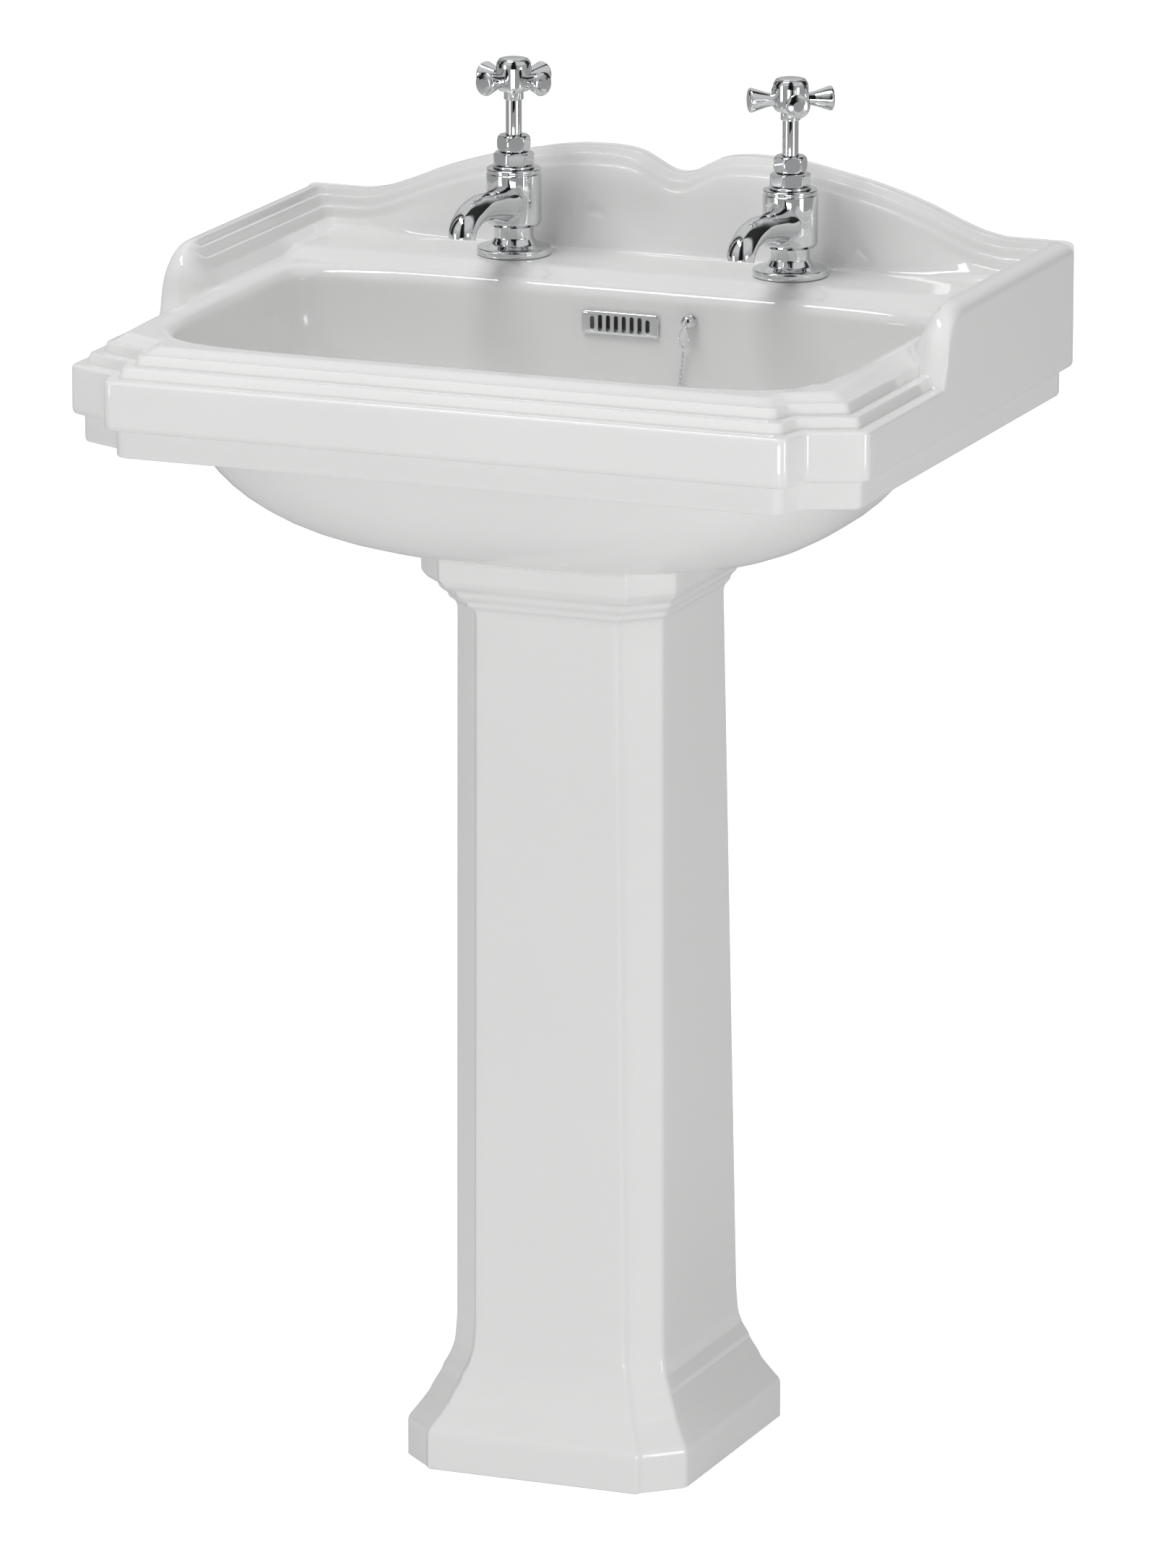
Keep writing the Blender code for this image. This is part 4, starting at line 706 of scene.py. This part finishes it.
for z in np.concatenate([[0.0, 0.0006], np.arange(0.003, 0.0975, 0.0016)]):
    sizes = COLUMN_FOOT + (PLINTH - COLUMN_FOOT) * flowing(z, foot_z, foot_share)
    soften = 0.0008 if z == 0 else 0.0
    levels.append((z, sizes - soften))
for z in np.linspace(0.11, 0.575, 16):
    levels.append((z, COLUMN_FOOT + (COLUMN_TOP - COLUMN_FOOT) * (z - FOOT_TOP) / (NECK - FOOT_TOP)))
for z in np.arange(0.0, 0.0405, 0.00085):
    levels.append((NECK + z, COLUMN_TOP + (CAPITAL - COLUMN_TOP) * flowing(z, head_z, head_share)))
pedestal_rings = []
for z, sizes in levels:
    plan = section(sizes)
    pedestal_rings.append(np.column_stack([plan[:, 0], plan[:, 1] + WALL, np.full(len(plan), z)]))
for shrink, low in ((0.0, 0.0016), (0.0006, 0.0008)):
    plan = section(CAPITAL - shrink)
    seat = np.minimum(belly(plan), 0.005) - low + SEAT
    pedestal_rings.append(np.column_stack([plan[:, 0], plan[:, 1] + WALL, seat]))
pedestal_shell = shell(np.array(pedestal_rings), hollow=2 * len(half_section(CAPITAL)))
piece("pedestal_china", [pedestal_shell], "white_glaze", "basin_set", "pedestal", 40)

# %% [markdown]
# ## Paths and tubes
# A spout, a wire and a chain all follow a path. The path is a smooth curve through a few points, and
# a frame of two directions is carried along it without twist, so that a ring of points can be set
# round each step with its own width and height.

# %% Paths and tubes


def path_through(points, count, closed=False):
    """A smooth path through the points: cubic Hermite pieces over the chord length."""
    p = np.array(points, float)
    if closed:
        p = np.concatenate([p[-2:], p, p[:3]])
    t = np.concatenate([[0], np.cumsum(np.linalg.norm(np.diff(p, axis=0), axis=1))])
    slope = np.gradient(p, t, axis=0)
    s = np.linspace(t[2], t[-3], count + 1)[:-1] if closed else np.linspace(0, t[-1], count)
    i = np.clip(np.searchsorted(t, s, side="right") - 1, 0, len(t) - 2)
    w = (t[i + 1] - t[i])[:, None]
    u = (s - t[i])[:, None] / w
    return ((1 + 2 * u) * (1 - u)**2 * p[i] + u * (1 - u)**2 * w * slope[i]
            + u**2 * (3 - 2 * u) * p[i + 1] + u**2 * (u - 1) * w * slope[i + 1])


def frames(path, side=(1, 0, 0), closed=False):
    """The path's directions, with a side direction carried along it and the third at right angles."""
    ahead = np.roll(path, -1, axis=0) - np.roll(path, 1, axis=0) if closed else np.gradient(path, axis=0)
    ahead /= np.linalg.norm(ahead, axis=1)[:, None]
    sides = np.empty_like(path)
    now = np.array(side, float)
    for i, direction in enumerate(ahead):
        now = now - direction * (now @ direction)
        now /= np.linalg.norm(now)
        sides[i] = now
    return ahead, sides, np.cross(ahead, sides)


def swept(path, wide, tall=None, steps=32, side=(1, 0, 0), closed=False):
    """A tube round the path; wide and tall are its half sizes at each point."""
    wide = np.broadcast_to(wide, len(path))[:, None, None]
    tall = wide if tall is None else np.broadcast_to(tall, len(path))[:, None, None]
    _, sides, ups = frames(path, side, closed)
    turn = np.linspace(0, 2 * math.pi, steps, endpoint=False)[None, :, None]
    grid = path[:, None] + sides[:, None] * wide * np.cos(turn) + ups[:, None] * tall * np.sin(turn)
    return shell(grid, ring=closed)


def hex_nut(across, low, high, bore, place, dome=0.0012, lean=1.7, axis="z", steps=144):
    """A six-sided nut: its radius is the lesser of a hexagon and a cone that cuts its corners.

    A hexagon's radius at angle a is half its width across flats over cos(a), with a counted from the
    nearest flat. The cone starts at the flats' radius, less a little, at each end of the nut.
    """
    angle = np.linspace(0, 2 * math.pi, steps, endpoint=False)
    flat = (across / 2) / np.cos((angle + math.pi / 6) % (math.pi / 3) - math.pi / 6)
    flat = np.minimum(flat, across / 2 * 1.148)
    z = np.concatenate([low + dome * np.linspace(0, 1, 6)**1.5, high - dome * np.linspace(1, 0, 10)**1.5])
    ends = np.minimum(np.maximum(z - low, 0), np.maximum(high - z, 0))[:, None]
    cone = across / 2 - 0.0003 + across * 0.08 * (1 - (1 - np.clip(ends / dome, 0, 1))**lean)
    cone = np.where(ends >= dome, 1.0, cone)
    r = np.minimum(flat[None, :], cone)
    r = np.concatenate([np.full((1, steps), bore), r, np.full((1, steps), bore)])
    z = np.concatenate([[low], z, [high]])[:, None] + 0 * angle
    grid = np.stack([r * np.cos(angle), r * np.sin(angle), z], axis=-1)
    if axis == "y":
        grid = np.stack([grid[..., 0], -grid[..., 2], grid[..., 1]], axis=-1)
    return shell(grid + np.array(place), ring=True)


# %% [markdown]
# ## The tap bodies
# A pillar tap is one casting: a flange that sits on the deck, a short neck, a barrel and a horn of a
# spout that grows out of the barrel's front. The turned barrel and the swept spout are joined, then
# the valve chamber and the waterway are bored, as on the lathe.

# %% Tap bodies
BODY_PROFILE = [(0, -0.060), (0.0100, -0.060), (0.0103, -0.0590), (0.0103, 0.0018), (0.0228, 0.0018),
                (0.0228, 0.0003), (0.0252, 0.0003), (0.0252, 0.0054), (0.0196, 0.0055), (0.0160, 0.0076),
                (0.0133, 0.0115), (0.0133, 0.0200), (0.0168, 0.0200), (0.0187, 0.0226), (0.0187, 0.0556),
                (0.01805, 0.0561), (0.01805, 0.0569), (0.0185, 0.0574), (0.0185, 0.0593), (0, 0.0593)]
BODY_ROUNDS = (0.0003, 0.0003, 0.0001, 0.0001, 0.0003, 0.0006, 0.0010, 0.0012, 0.0040, 0.0030, 0.0008, 0.0007,
               0.0022, 0.0004, 0.0003, 0.0003, 0.0003, 0.0008)
SPOUT_ROUTE = [(0.004, 0.0360), (-0.020, 0.0372), (-0.045, 0.0402), (-0.066, 0.0412), (-0.0815, 0.0376),
               (-0.0902, 0.0310), (-0.0915, 0.0262)]
for hand, place in TAPS:
    barrel = turned(rounded_corners(BODY_PROFILE, BODY_ROUNDS), place, 112)
    route = path_through([(0, y, z) for y, z in SPOUT_ROUTE], 44) + place
    share = np.linspace(0, 1, 44)
    thick = flowing(share, (0, 0.17, 0.34, 0.5, 0.8, 1.0), (0.0142, 0.0132, 0.0111, 0.0101, 0.0096, 0.0094))
    thick[-2:] = thick[-2:] - (0.0001, 0.0006)
    spout = swept(route, thick, thick, 64)
    water_route = np.concatenate([route[4:], [route[-1] - (0, 0, 0.006)]])
    waterway = swept(water_route, 0.0078, None, 32)
    chamber = turned([(0, 0.031), (0.0112, 0.031), (0.0112, 0.080), (0, 0.080)], place, 48)
    inlet = turned([(0, -0.070), (0.0062, -0.070), (0.0062, 0.040), (0, 0.040)], place, 32)
    mesh = worked(f"tap_{hand}_casting", [barrel], [("UNION", [spout]), ("DIFFERENCE", [waterway]),
                                                   ("DIFFERENCE", [chamber]), ("DIFFERENCE", [inlet])], 32)
    piece(f"tap_{hand}_casting", mesh, "chrome", "basin_set", f"tap_{hand}_body")

# %% [markdown]
# ## Headgear
# The bonnet screws into the barrel and the gland nut packs the spindle. Both are hexagons whose
# corners a cone has cut, which is how bar stock looks after it has been faced on a lathe.

# %% Headgear
for hand, place in TAPS:
    collar = turned(rounded_corners(
        [(0.0058, 0.0480), (0.0104, 0.0480), (0.0104, 0.0596), (0.0144, 0.0596), (0.0144, 0.0612),
         (0.0058, 0.0612)], (0.0002, 0.0001, 0.0003, 0.0004)), place, 96, ring=True)
    piece(f"tap_{hand}_bonnet_hex", [collar, hex_nut(0.0240, 0.06125, 0.0704, 0.0058, place, 0.0016)],
          "chrome", "basin_set", f"tap_{hand}_bonnet", 25)
    piece(f"tap_{hand}_gland_hex", [hex_nut(0.0200, 0.0707, 0.0817, 0.0058, place, 0.0034, 2.6)],
          "chrome", "basin_set", f"tap_{hand}_gland_nut", 25)
    stem = turned(rounded_corners([(0, 0.0395), (0.0054, 0.0395), (0.0054, 0.1132), (0, 0.1132)],
                                  (0.0003, 0.0003)), place, 64)
    piece(f"tap_{hand}_stem", [stem], "chrome", f"{hand}_head", f"tap_{hand}_spindle")

# %% [markdown]
# ## Handles
# A cross head is a round hub with four horns. Each horn is turned about its own axis: thin at the
# hub, swelling to a crowned end. They are joined to the hub and bored for the spindle, and a thin
# polished disc drops into the top to hide the screw.

# %% Handles
HUB = [(0, 0.1057), (0.0061, 0.1057), (0.0067, 0.1064), (0.0067, 0.1118), (0.0100, 0.1121), (0.0120, 0.1150),
       (0.0120, 0.1282), (0.0116, 0.1310), (0.0104, 0.1331), (0.0093, 0.1340), (0.0093, 0.1326), (0, 0.1326)]
HORN = [(0, 0.004), (0.0042, 0.004), (0.0042, 0.0120), (0.0050, 0.0160), (0.0064, 0.0205), (0.0077, 0.0245),
        (0.0085, 0.0270), (0.0080, 0.0281), (0.0062, 0.0289), (0.0035, 0.0294), (0, 0.0295)]
for (hand, place), angle in zip(TAPS, (67.0, 31.0)):
    hub = turned(rounded_corners(HUB, (0.0003, 0.0004, 0.0006, 0.0008, 0.0014, 0.0020, 0.0020, 0.0020, 0.0003,
                                       0.0001)), place, 96)
    steps = []
    for quarter in range(4):
        verts, faces = turned(rounded_corners(HORN, (0.0002, 0.0050, 0.0080, 0.0200, 0.0100, 0.0007, 0.0012,
                                                     0.0020, 0.0030)), (0, 0, 0), 56)
        way = math.radians(angle) + quarter * math.pi / 2
        out, level_side, rise = (np.array(v) for v in (
            (math.cos(way), math.sin(way), 0), (-math.sin(way), math.cos(way), 0), (0, 0, 1)))
        laid = verts[:, :1] * level_side + verts[:, 1:2] * rise + verts[:, 2:] * out
        steps.append(("UNION", [(laid + place + (0, 0, 0.1199), faces)]))
    bore = turned([(0, 0.100), (0.0056, 0.100), (0.0056, 0.1134), (0, 0.1134)], place, 48)
    steps.append(("DIFFERENCE", [bore]))
    piece(f"tap_{hand}_cross_head", worked(f"tap_{hand}_cross_head", [hub], steps, 30), "chrome",
          f"{hand}_head", f"tap_{hand}_handle")
    disc = turned(rounded_corners(
        [(0, 0.1328), (0.0090, 0.1328), (0.0090, 0.1339), (0.0060, 0.1345), (0, 0.1349)],
        (0.0002, 0.0003, 0.0150)), place, 72)
    piece(f"tap_{hand}_disc", [disc], "chrome", f"{hand}_head", f"tap_{hand}_index")

# %% [markdown]
# ## Under the deck
# Each tap is drawn down on a plastic washer by a brass back nut. They are plain work, but a cut from
# the same formula as the nuts above, with the tail's thread left as its outside diameter.

# %% Under the deck
for hand, place in TAPS:
    washer = turned(rounded_corners(
        [(0.0106, -0.0203), (0.0200, -0.0203), (0.0200, -0.0230), (0.0106, -0.0230)],
        (0.0006, 0.0006)), place, 72, ring=True)
    piece(f"tap_{hand}_top_hat", [washer], "white_plastic", "basin_set", f"tap_{hand}_washer")
    piece(f"tap_{hand}_back_hex", [hex_nut(0.0300, -0.0315, -0.0233, 0.0106, place)], "brass", "basin_set",
          f"tap_{hand}_backnut", 25)

# %% [markdown]
# ## Waste and plug
# The waste's flange lies in a recess of the bowl's floor on a rubber washer, and its tail is drawn
# down by a back nut. The plug is a chromed cap over a tapered rubber, with an eye for its ring.

# %% Waste and plug
mouth_z = SEAT + 0.009
place = (0, WASTE_Y, mouth_z)
flange = turned(rounded_corners(
    [(0.0165, -0.0850), (0.0209, -0.0850), (0.0209, 0.0018), (0.0319, 0.0018), (0.0320, 0.0032),
     (0.0300, 0.0044), (0.0215, 0.0049), (0.0165, -0.0130)],
    (0.0005, 0.0002, 0.0003, 0.0008, 0.0020, 0.0018, 0.0020)), place, 96, ring=True)
slot_cut = box_shell((-0.009, WASTE_Y - 0.040, mouth_z - 0.0238),
                     (0.009, WASTE_Y + 0.040, mouth_z - 0.0148))
piece("waste_tail", worked("waste_tail", [flange], [("DIFFERENCE", [slot_cut])], 30), "chrome", "basin_set",
      "waste_body")
for name, node, low, high in (("waste_bed", "waste_top_washer", 0.0003, 0.0015),
                              ("waste_gasket", "waste_bottom_washer", -0.0380, -0.0353)):
    band = turned(rounded_corners([(0.0212, low), (0.0305, low), (0.0305, high), (0.0212, high)],
                                  (0.0005, 0.0005)), place, 72, ring=True)
    piece(name, [band], "rubber", "basin_set", node)
piece("waste_hex", [hex_nut(0.0560, -0.0470, -0.0383, 0.0212, place, 0.0018)], "brass", "basin_set",
      "waste_backnut", 25)
rest = 0.0058
seal = turned(rounded_corners(
    [(0.0100, rest - 0.0005), (0.0100, rest - 0.0118), (0.0162, rest - 0.0120), (0.0205, rest - 0.0024),
     (0.0205, rest - 0.0005)], (0.0003, 0.0008, 0.0010)), place, 96, ring=True)
piece("plug_rubber", [seal], "rubber", "plug", "plug_seal")
cap = turned(rounded_corners(
    [(0, rest - 0.0110), (0.0096, rest - 0.0110), (0.0096, rest - 0.0002), (0.0205, rest - 0.0002),
     (0.0196, rest + 0.0010), (0.0090, rest + 0.0021), (0, rest + 0.0024)],
    (0.0003, 0.0002, 0.0003, 0.0010, 0.0150)), place, 96)
EYE = ((-0.0004, 0.0012), (-0.0019, 0.0030), (-0.0021, 0.0055), (0, 0.0077), (0.0021, 0.0055),
       (0.0019, 0.0030), (0.0004, 0.0012))
eye_route = path_through([(x, 0, rest + z) for x, z in EYE], 40) + np.array(place)
eye = swept(eye_route, 0.00062, None, 12, side=(0, 1, 0))
piece("plug_cap", worked("plug_cap", [cap], [("UNION", [eye])], 35), "chrome", "plug", "plug")
turn = np.linspace(0, 2 * math.pi, 48, endpoint=False)
ring_path = np.stack([0 * turn, WASTE_Y + 0.0045 * np.cos(turn), 0.6545 + 0.0045 * np.sin(turn)], axis=1)
piece("plug_split_ring", [swept(ring_path, 0.0006, None, 12, closed=True)], "chrome", "plug", "plug_ring")

# %% [markdown]
# ## Overflow grille
# A pressed plate with eight slots. Its outline is a rounded rectangle, moved inwards a little at each
# face for the pressed edge, and the slots are stadiums punched right through.

# %% Overflow grille


def rounded_plate(half_wide, half_tall, corner, layers, place, count=8):
    """A plate in the x-z plane: each layer is an inset of its outline and a depth along y."""
    turn = np.linspace(0, math.pi / 2, count)
    rows = []
    for inset, depth in layers:
        r = corner - inset
        quads = [(np.cos(turn + k * math.pi / 2) * r + sx * (half_wide - corner),
                  np.sin(turn + k * math.pi / 2) * r + sz * (half_tall - corner))
                 for k, (sx, sz) in enumerate(((1, 1), (-1, 1), (-1, -1), (1, -1)))]
        x, z = np.concatenate([q[0] for q in quads]), np.concatenate([q[1] for q in quads])
        rows.append(np.stack([x, np.full_like(x, depth), z], axis=1) + np.array(place))
    return shell(np.array(rows))


face = (0, BACK - 0.0027, GRILLE_Z)
pressed = ((0.0002, 0.0015), (0.0, 0.0013), (0.0, 0.0005), (0.0002, 0.0002), (0.0006, 0.0))
plate = rounded_plate(0.0275, 0.00775, 0.0022, pressed, face)
slots = []
for i in range(8):
    tall = 0.0056 if 0 < i < 7 else 0.0044
    spot = ((i - 3.5) * 0.0057, face[1], face[2])
    slots.append(rounded_plate(0.0015, tall, 0.00149, ((0, -0.004), (0, 0.006)), spot))
piece("overflow_plate", worked("overflow_plate", [plate], [("DIFFERENCE", [cut]) for cut in slots], 30),
      "chrome", "basin_set", "overflow_grille")

# %% [markdown]
# ## Stay, bow and chain
# The chain hangs from a ball-headed stay through the back wall. Each link is a small stadium of
# wire, and every other one is turned a quarter about the path, so that they hold one another. The
# chain is one mesh with no body: its path runs from the bow at its top end to the plug's ring at its lower
# end.

# %% Stay, bow and chain
ball = np.linspace(-1.05, math.pi / 2, 16)
stay_profile = [(0, -0.0235), (0.0026, -0.0235), (0.0028, -0.0232), (0.0028, -0.0004), (0.0046, -0.0004),
                (0.0046, 0.0004), (0.0040, 0.0007)]
stay_profile += [(0.0047 * math.cos(a), 0.0042 + 0.0043 * math.sin(a)) for a in ball]
stay_place = (STAY_X, BACK - 0.0017, STAY_Z)
piece("stay_ball", [turned(stay_profile, stay_place, 48, axis="y")], "chrome", "basin_set", "chain_stay")
stay_nut = hex_nut(0.0100, -0.0198, -0.0168, 0.0031, (STAY_X, BACK, STAY_Z), 0.0006, axis="y")
piece("stay_hex", [stay_nut], "brass", "basin_set", "chain_stay_nut", 25)
BOW = ((0, -0.0052, -0.0030), (-0.0062, 0.0008, -0.0130), (-0.0034, 0.0016, -0.0180),
       (0.0004, 0.0008, -0.0135))
bow_path = path_through(np.array(BOW) + (STAY_X, BACK - 0.0064, STAY_Z), 72, closed=True)
piece("stay_bow", [swept(bow_path, 0.0006, None, 12, closed=True)], "chrome", "basin_set", "chain_bow")

CHAIN_ROUTE = [(0.0466, 0.0923, 0.7505), (0.0450, 0.0913, 0.7310), (0.0430, 0.0876, 0.7010),
               (0.0390, 0.0795, 0.6760), (0.0320, 0.0660, 0.6590), (0.0280, 0.0495, 0.6492),
               (0.0360, 0.0335, 0.6464), (0.0260, -0.0065, 0.6464), (0.0100, -0.0125, 0.6482),
               (0.0020, 0.0055, 0.6552), (0.0, 0.0145, 0.6607)]
chain_path = path_through(CHAIN_ROUTE, 600)
run = np.concatenate([[0], np.cumsum(np.linalg.norm(np.diff(chain_path, axis=0), axis=1))])
PITCH, LINK_END, LINK_HALF, WIRE = 0.0030, 0.00085, 0.0010, 0.00034
links = int(run[-1] / PITCH)
middle = (np.arange(links) + 0.5) * run[-1] / links
ahead, sides, ups = frames(chain_path)
loop = np.linspace(0, 2 * math.pi, 20, endpoint=False)
along = LINK_END * np.cos(loop) + np.where(np.cos(loop) > 0, LINK_HALF, -LINK_HALF)
around = LINK_END * np.sin(loop)
wire = np.linspace(0, 2 * math.pi, 8, endpoint=False)
outward = np.stack([np.cos(loop), np.sin(loop)], axis=1)
chain_shells = []
for i in range(links):
    k = int(np.searchsorted(run, middle[i]))
    t, a, b = ahead[k], sides[k], ups[k]
    a, b = (a, b) if i % 2 else (b, -a)
    centre = chain_path[k] + along[:, None] * t + around[:, None] * a
    normal = outward[:, :1] * t + outward[:, 1:] * a
    round_wire = normal[:, None] * np.cos(wire)[None, :, None] + b * np.sin(wire)[None, :, None]
    grid = centre[:, None] + WIRE * round_wire
    chain_shells.append(shell(grid, ring=True))
chain = piece("link_chain", chain_shells, "chrome", None, "chain", 60)
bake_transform(chain)
print("chain length", round(float(run[-1]), 4), "m in", links, "links")

# %% [markdown]
# ## Bottle trap
# Inside the pedestal hangs a white bottle trap. Every piece is turned, and the nuts have shallow
# ribs for a wet hand: their radius takes a small wave round the axis wherever it is large enough.

# %% Bottle trap


def ribbed(shell_of, centre, inner, count=20, depth=0.0007, axis="z"):
    """The same shell with a wave of ribs on all points further than inner from the axis."""
    verts, faces = shell_of
    a, b = (0, 1) if axis == "z" else (0, 2)
    off = verts[:, [a, b]] - np.array([centre[a], centre[b]])
    r = np.linalg.norm(off, axis=1)
    angle = np.arctan2(off[:, 1], off[:, 0])
    wave = np.where(r > inner, depth * (np.abs(np.cos(angle * count / 2)) - 1), 0)
    verts = verts.copy()
    verts[:, [a, b]] += off / np.maximum(r, 1e-9)[:, None] * wave[:, None]
    return verts, faces


place = (0, WASTE_Y, TRAP_TOP)
inlet_nut = turned(rounded_corners(
    [(0.0212, 0.0140), (0.0271, 0.0140), (0.0275, -0.0092), (0.0163, -0.0092), (0.0163, -0.0065),
     (0.0212, -0.0065)],
    (0.0012, 0.0016, 0.0003, 0.0003)), place, 160, ring=True)
piece("trap_union_nut", [ribbed(inlet_nut, place, 0.0262)], "white_plastic", "basin_set",
      "trap_inlet_nut", 30)
inlet_band = turned([(0.0147, -0.0003), (0.0147, -0.0029), (0.0204, -0.0029), (0.0204, -0.0003)], place, 64,
                    ring=True)
piece("trap_union_washer", [inlet_band], "rubber", "basin_set", "trap_inlet_washer")
casing = turned(rounded_corners(
    [(0.0137, -0.0032), (0.0204, -0.0032), (0.0204, -0.0062), (0.0160, -0.0062), (0.0160, -0.0310),
     (0.0260, -0.0350), (0.0300, -0.0390), (0.0300, -0.0830), (0.0274, -0.0830), (0.0274, -0.0410),
     (0.0190, -0.0385), (0.0160, -0.0410), (0.0160, -0.1230), (0.0137, -0.1230)],
    (0.0003, 0.0003, 0.0002, 0.0030, 0.0040, 0.0030, 0.0004, 0.0004, 0.0020, 0.0008, 0.0008, 0.0003)),
    place, 96, ring=True)
outlet = (0, WASTE_Y, PIPE_Z)
spigot = turned([(0, -0.058), (0.0170, -0.058), (0.0170, -0.0285), (0, -0.0285)], outlet, 64, axis="y")
way = turned([(0, -0.068), (0.0143, -0.068), (0.0143, -0.020), (0, -0.020)], outlet, 64, axis="y")
piece("trap_casing", worked("trap_casing", [casing], [("UNION", [spigot]), ("DIFFERENCE", [way])], 30),
      "white_plastic", "basin_set", "trap_body")
cup_band = turned([(0.0277, -0.0833), (0.0277, -0.0857), (0.0297, -0.0857), (0.0297, -0.0833)], place, 64,
                  ring=True)
piece("trap_cup_band", [cup_band], "rubber", "basin_set", "trap_cup_seal")
cup = turned(rounded_corners(
    [(0, -0.1530), (0.0244, -0.1530), (0.0274, -0.1490), (0.0274, -0.0860), (0.0303, -0.0860),
     (0.0303, -0.0745), (0.0334, -0.0745), (0.0334, -0.0930), (0.0308, -0.0960), (0.0308, -0.1510),
     (0.0250, -0.1570), (0, -0.1570)],
    (0.0020, 0.0020, 0.0003, 0.0003, 0.0003, 0.0012, 0.0012, 0.0015, 0.0040, 0.0040)), place, 160)
piece("trap_bottle", [ribbed(cup, place, 0.0322, 24)], "white_plastic", "basin_set", "trap_cup", 30)
end_y = WASTE_Y + 0.058
outlet = (0, end_y - 0.014, PIPE_Z)
gland = turned(rounded_corners(
    [(0.0173, 0.0000), (0.0245, 0.0000), (0.0245, -0.0200), (0.0163, -0.0200), (0.0163, -0.0168),
     (0.0173, -0.0165)],
    (0.0012, 0.0012, 0.0003)), outlet, 160, ring=True, axis="y")
piece("trap_outlet_gland", [ribbed(gland, outlet, 0.0236, axis="y")], "white_plastic", "basin_set",
      "trap_outlet_nut", 30)
reach = WALL - end_y
pipe = turned([(0.0137, -0.0003), (0.0160, -0.0003), (0.0160, -reach), (0.0137, -reach)],
              (0, end_y, PIPE_Z), 72, ring=True, axis="y")
piece("trap_waste_pipe", [pipe], "white_plastic", "basin_set", "waste_pipe")

# %% [markdown]
# ## The pieces that stay as packed
# Gaskets, jumpers and screws are hidden inside the taps and are right as they are. They take the
# same finishes as everything else.

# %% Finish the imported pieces
for row in frame["record"]["subparts"]:
    for held in frame["nodes"][row["node"]].material_slots:
        held.material = finish_of[row["material_slot"]]
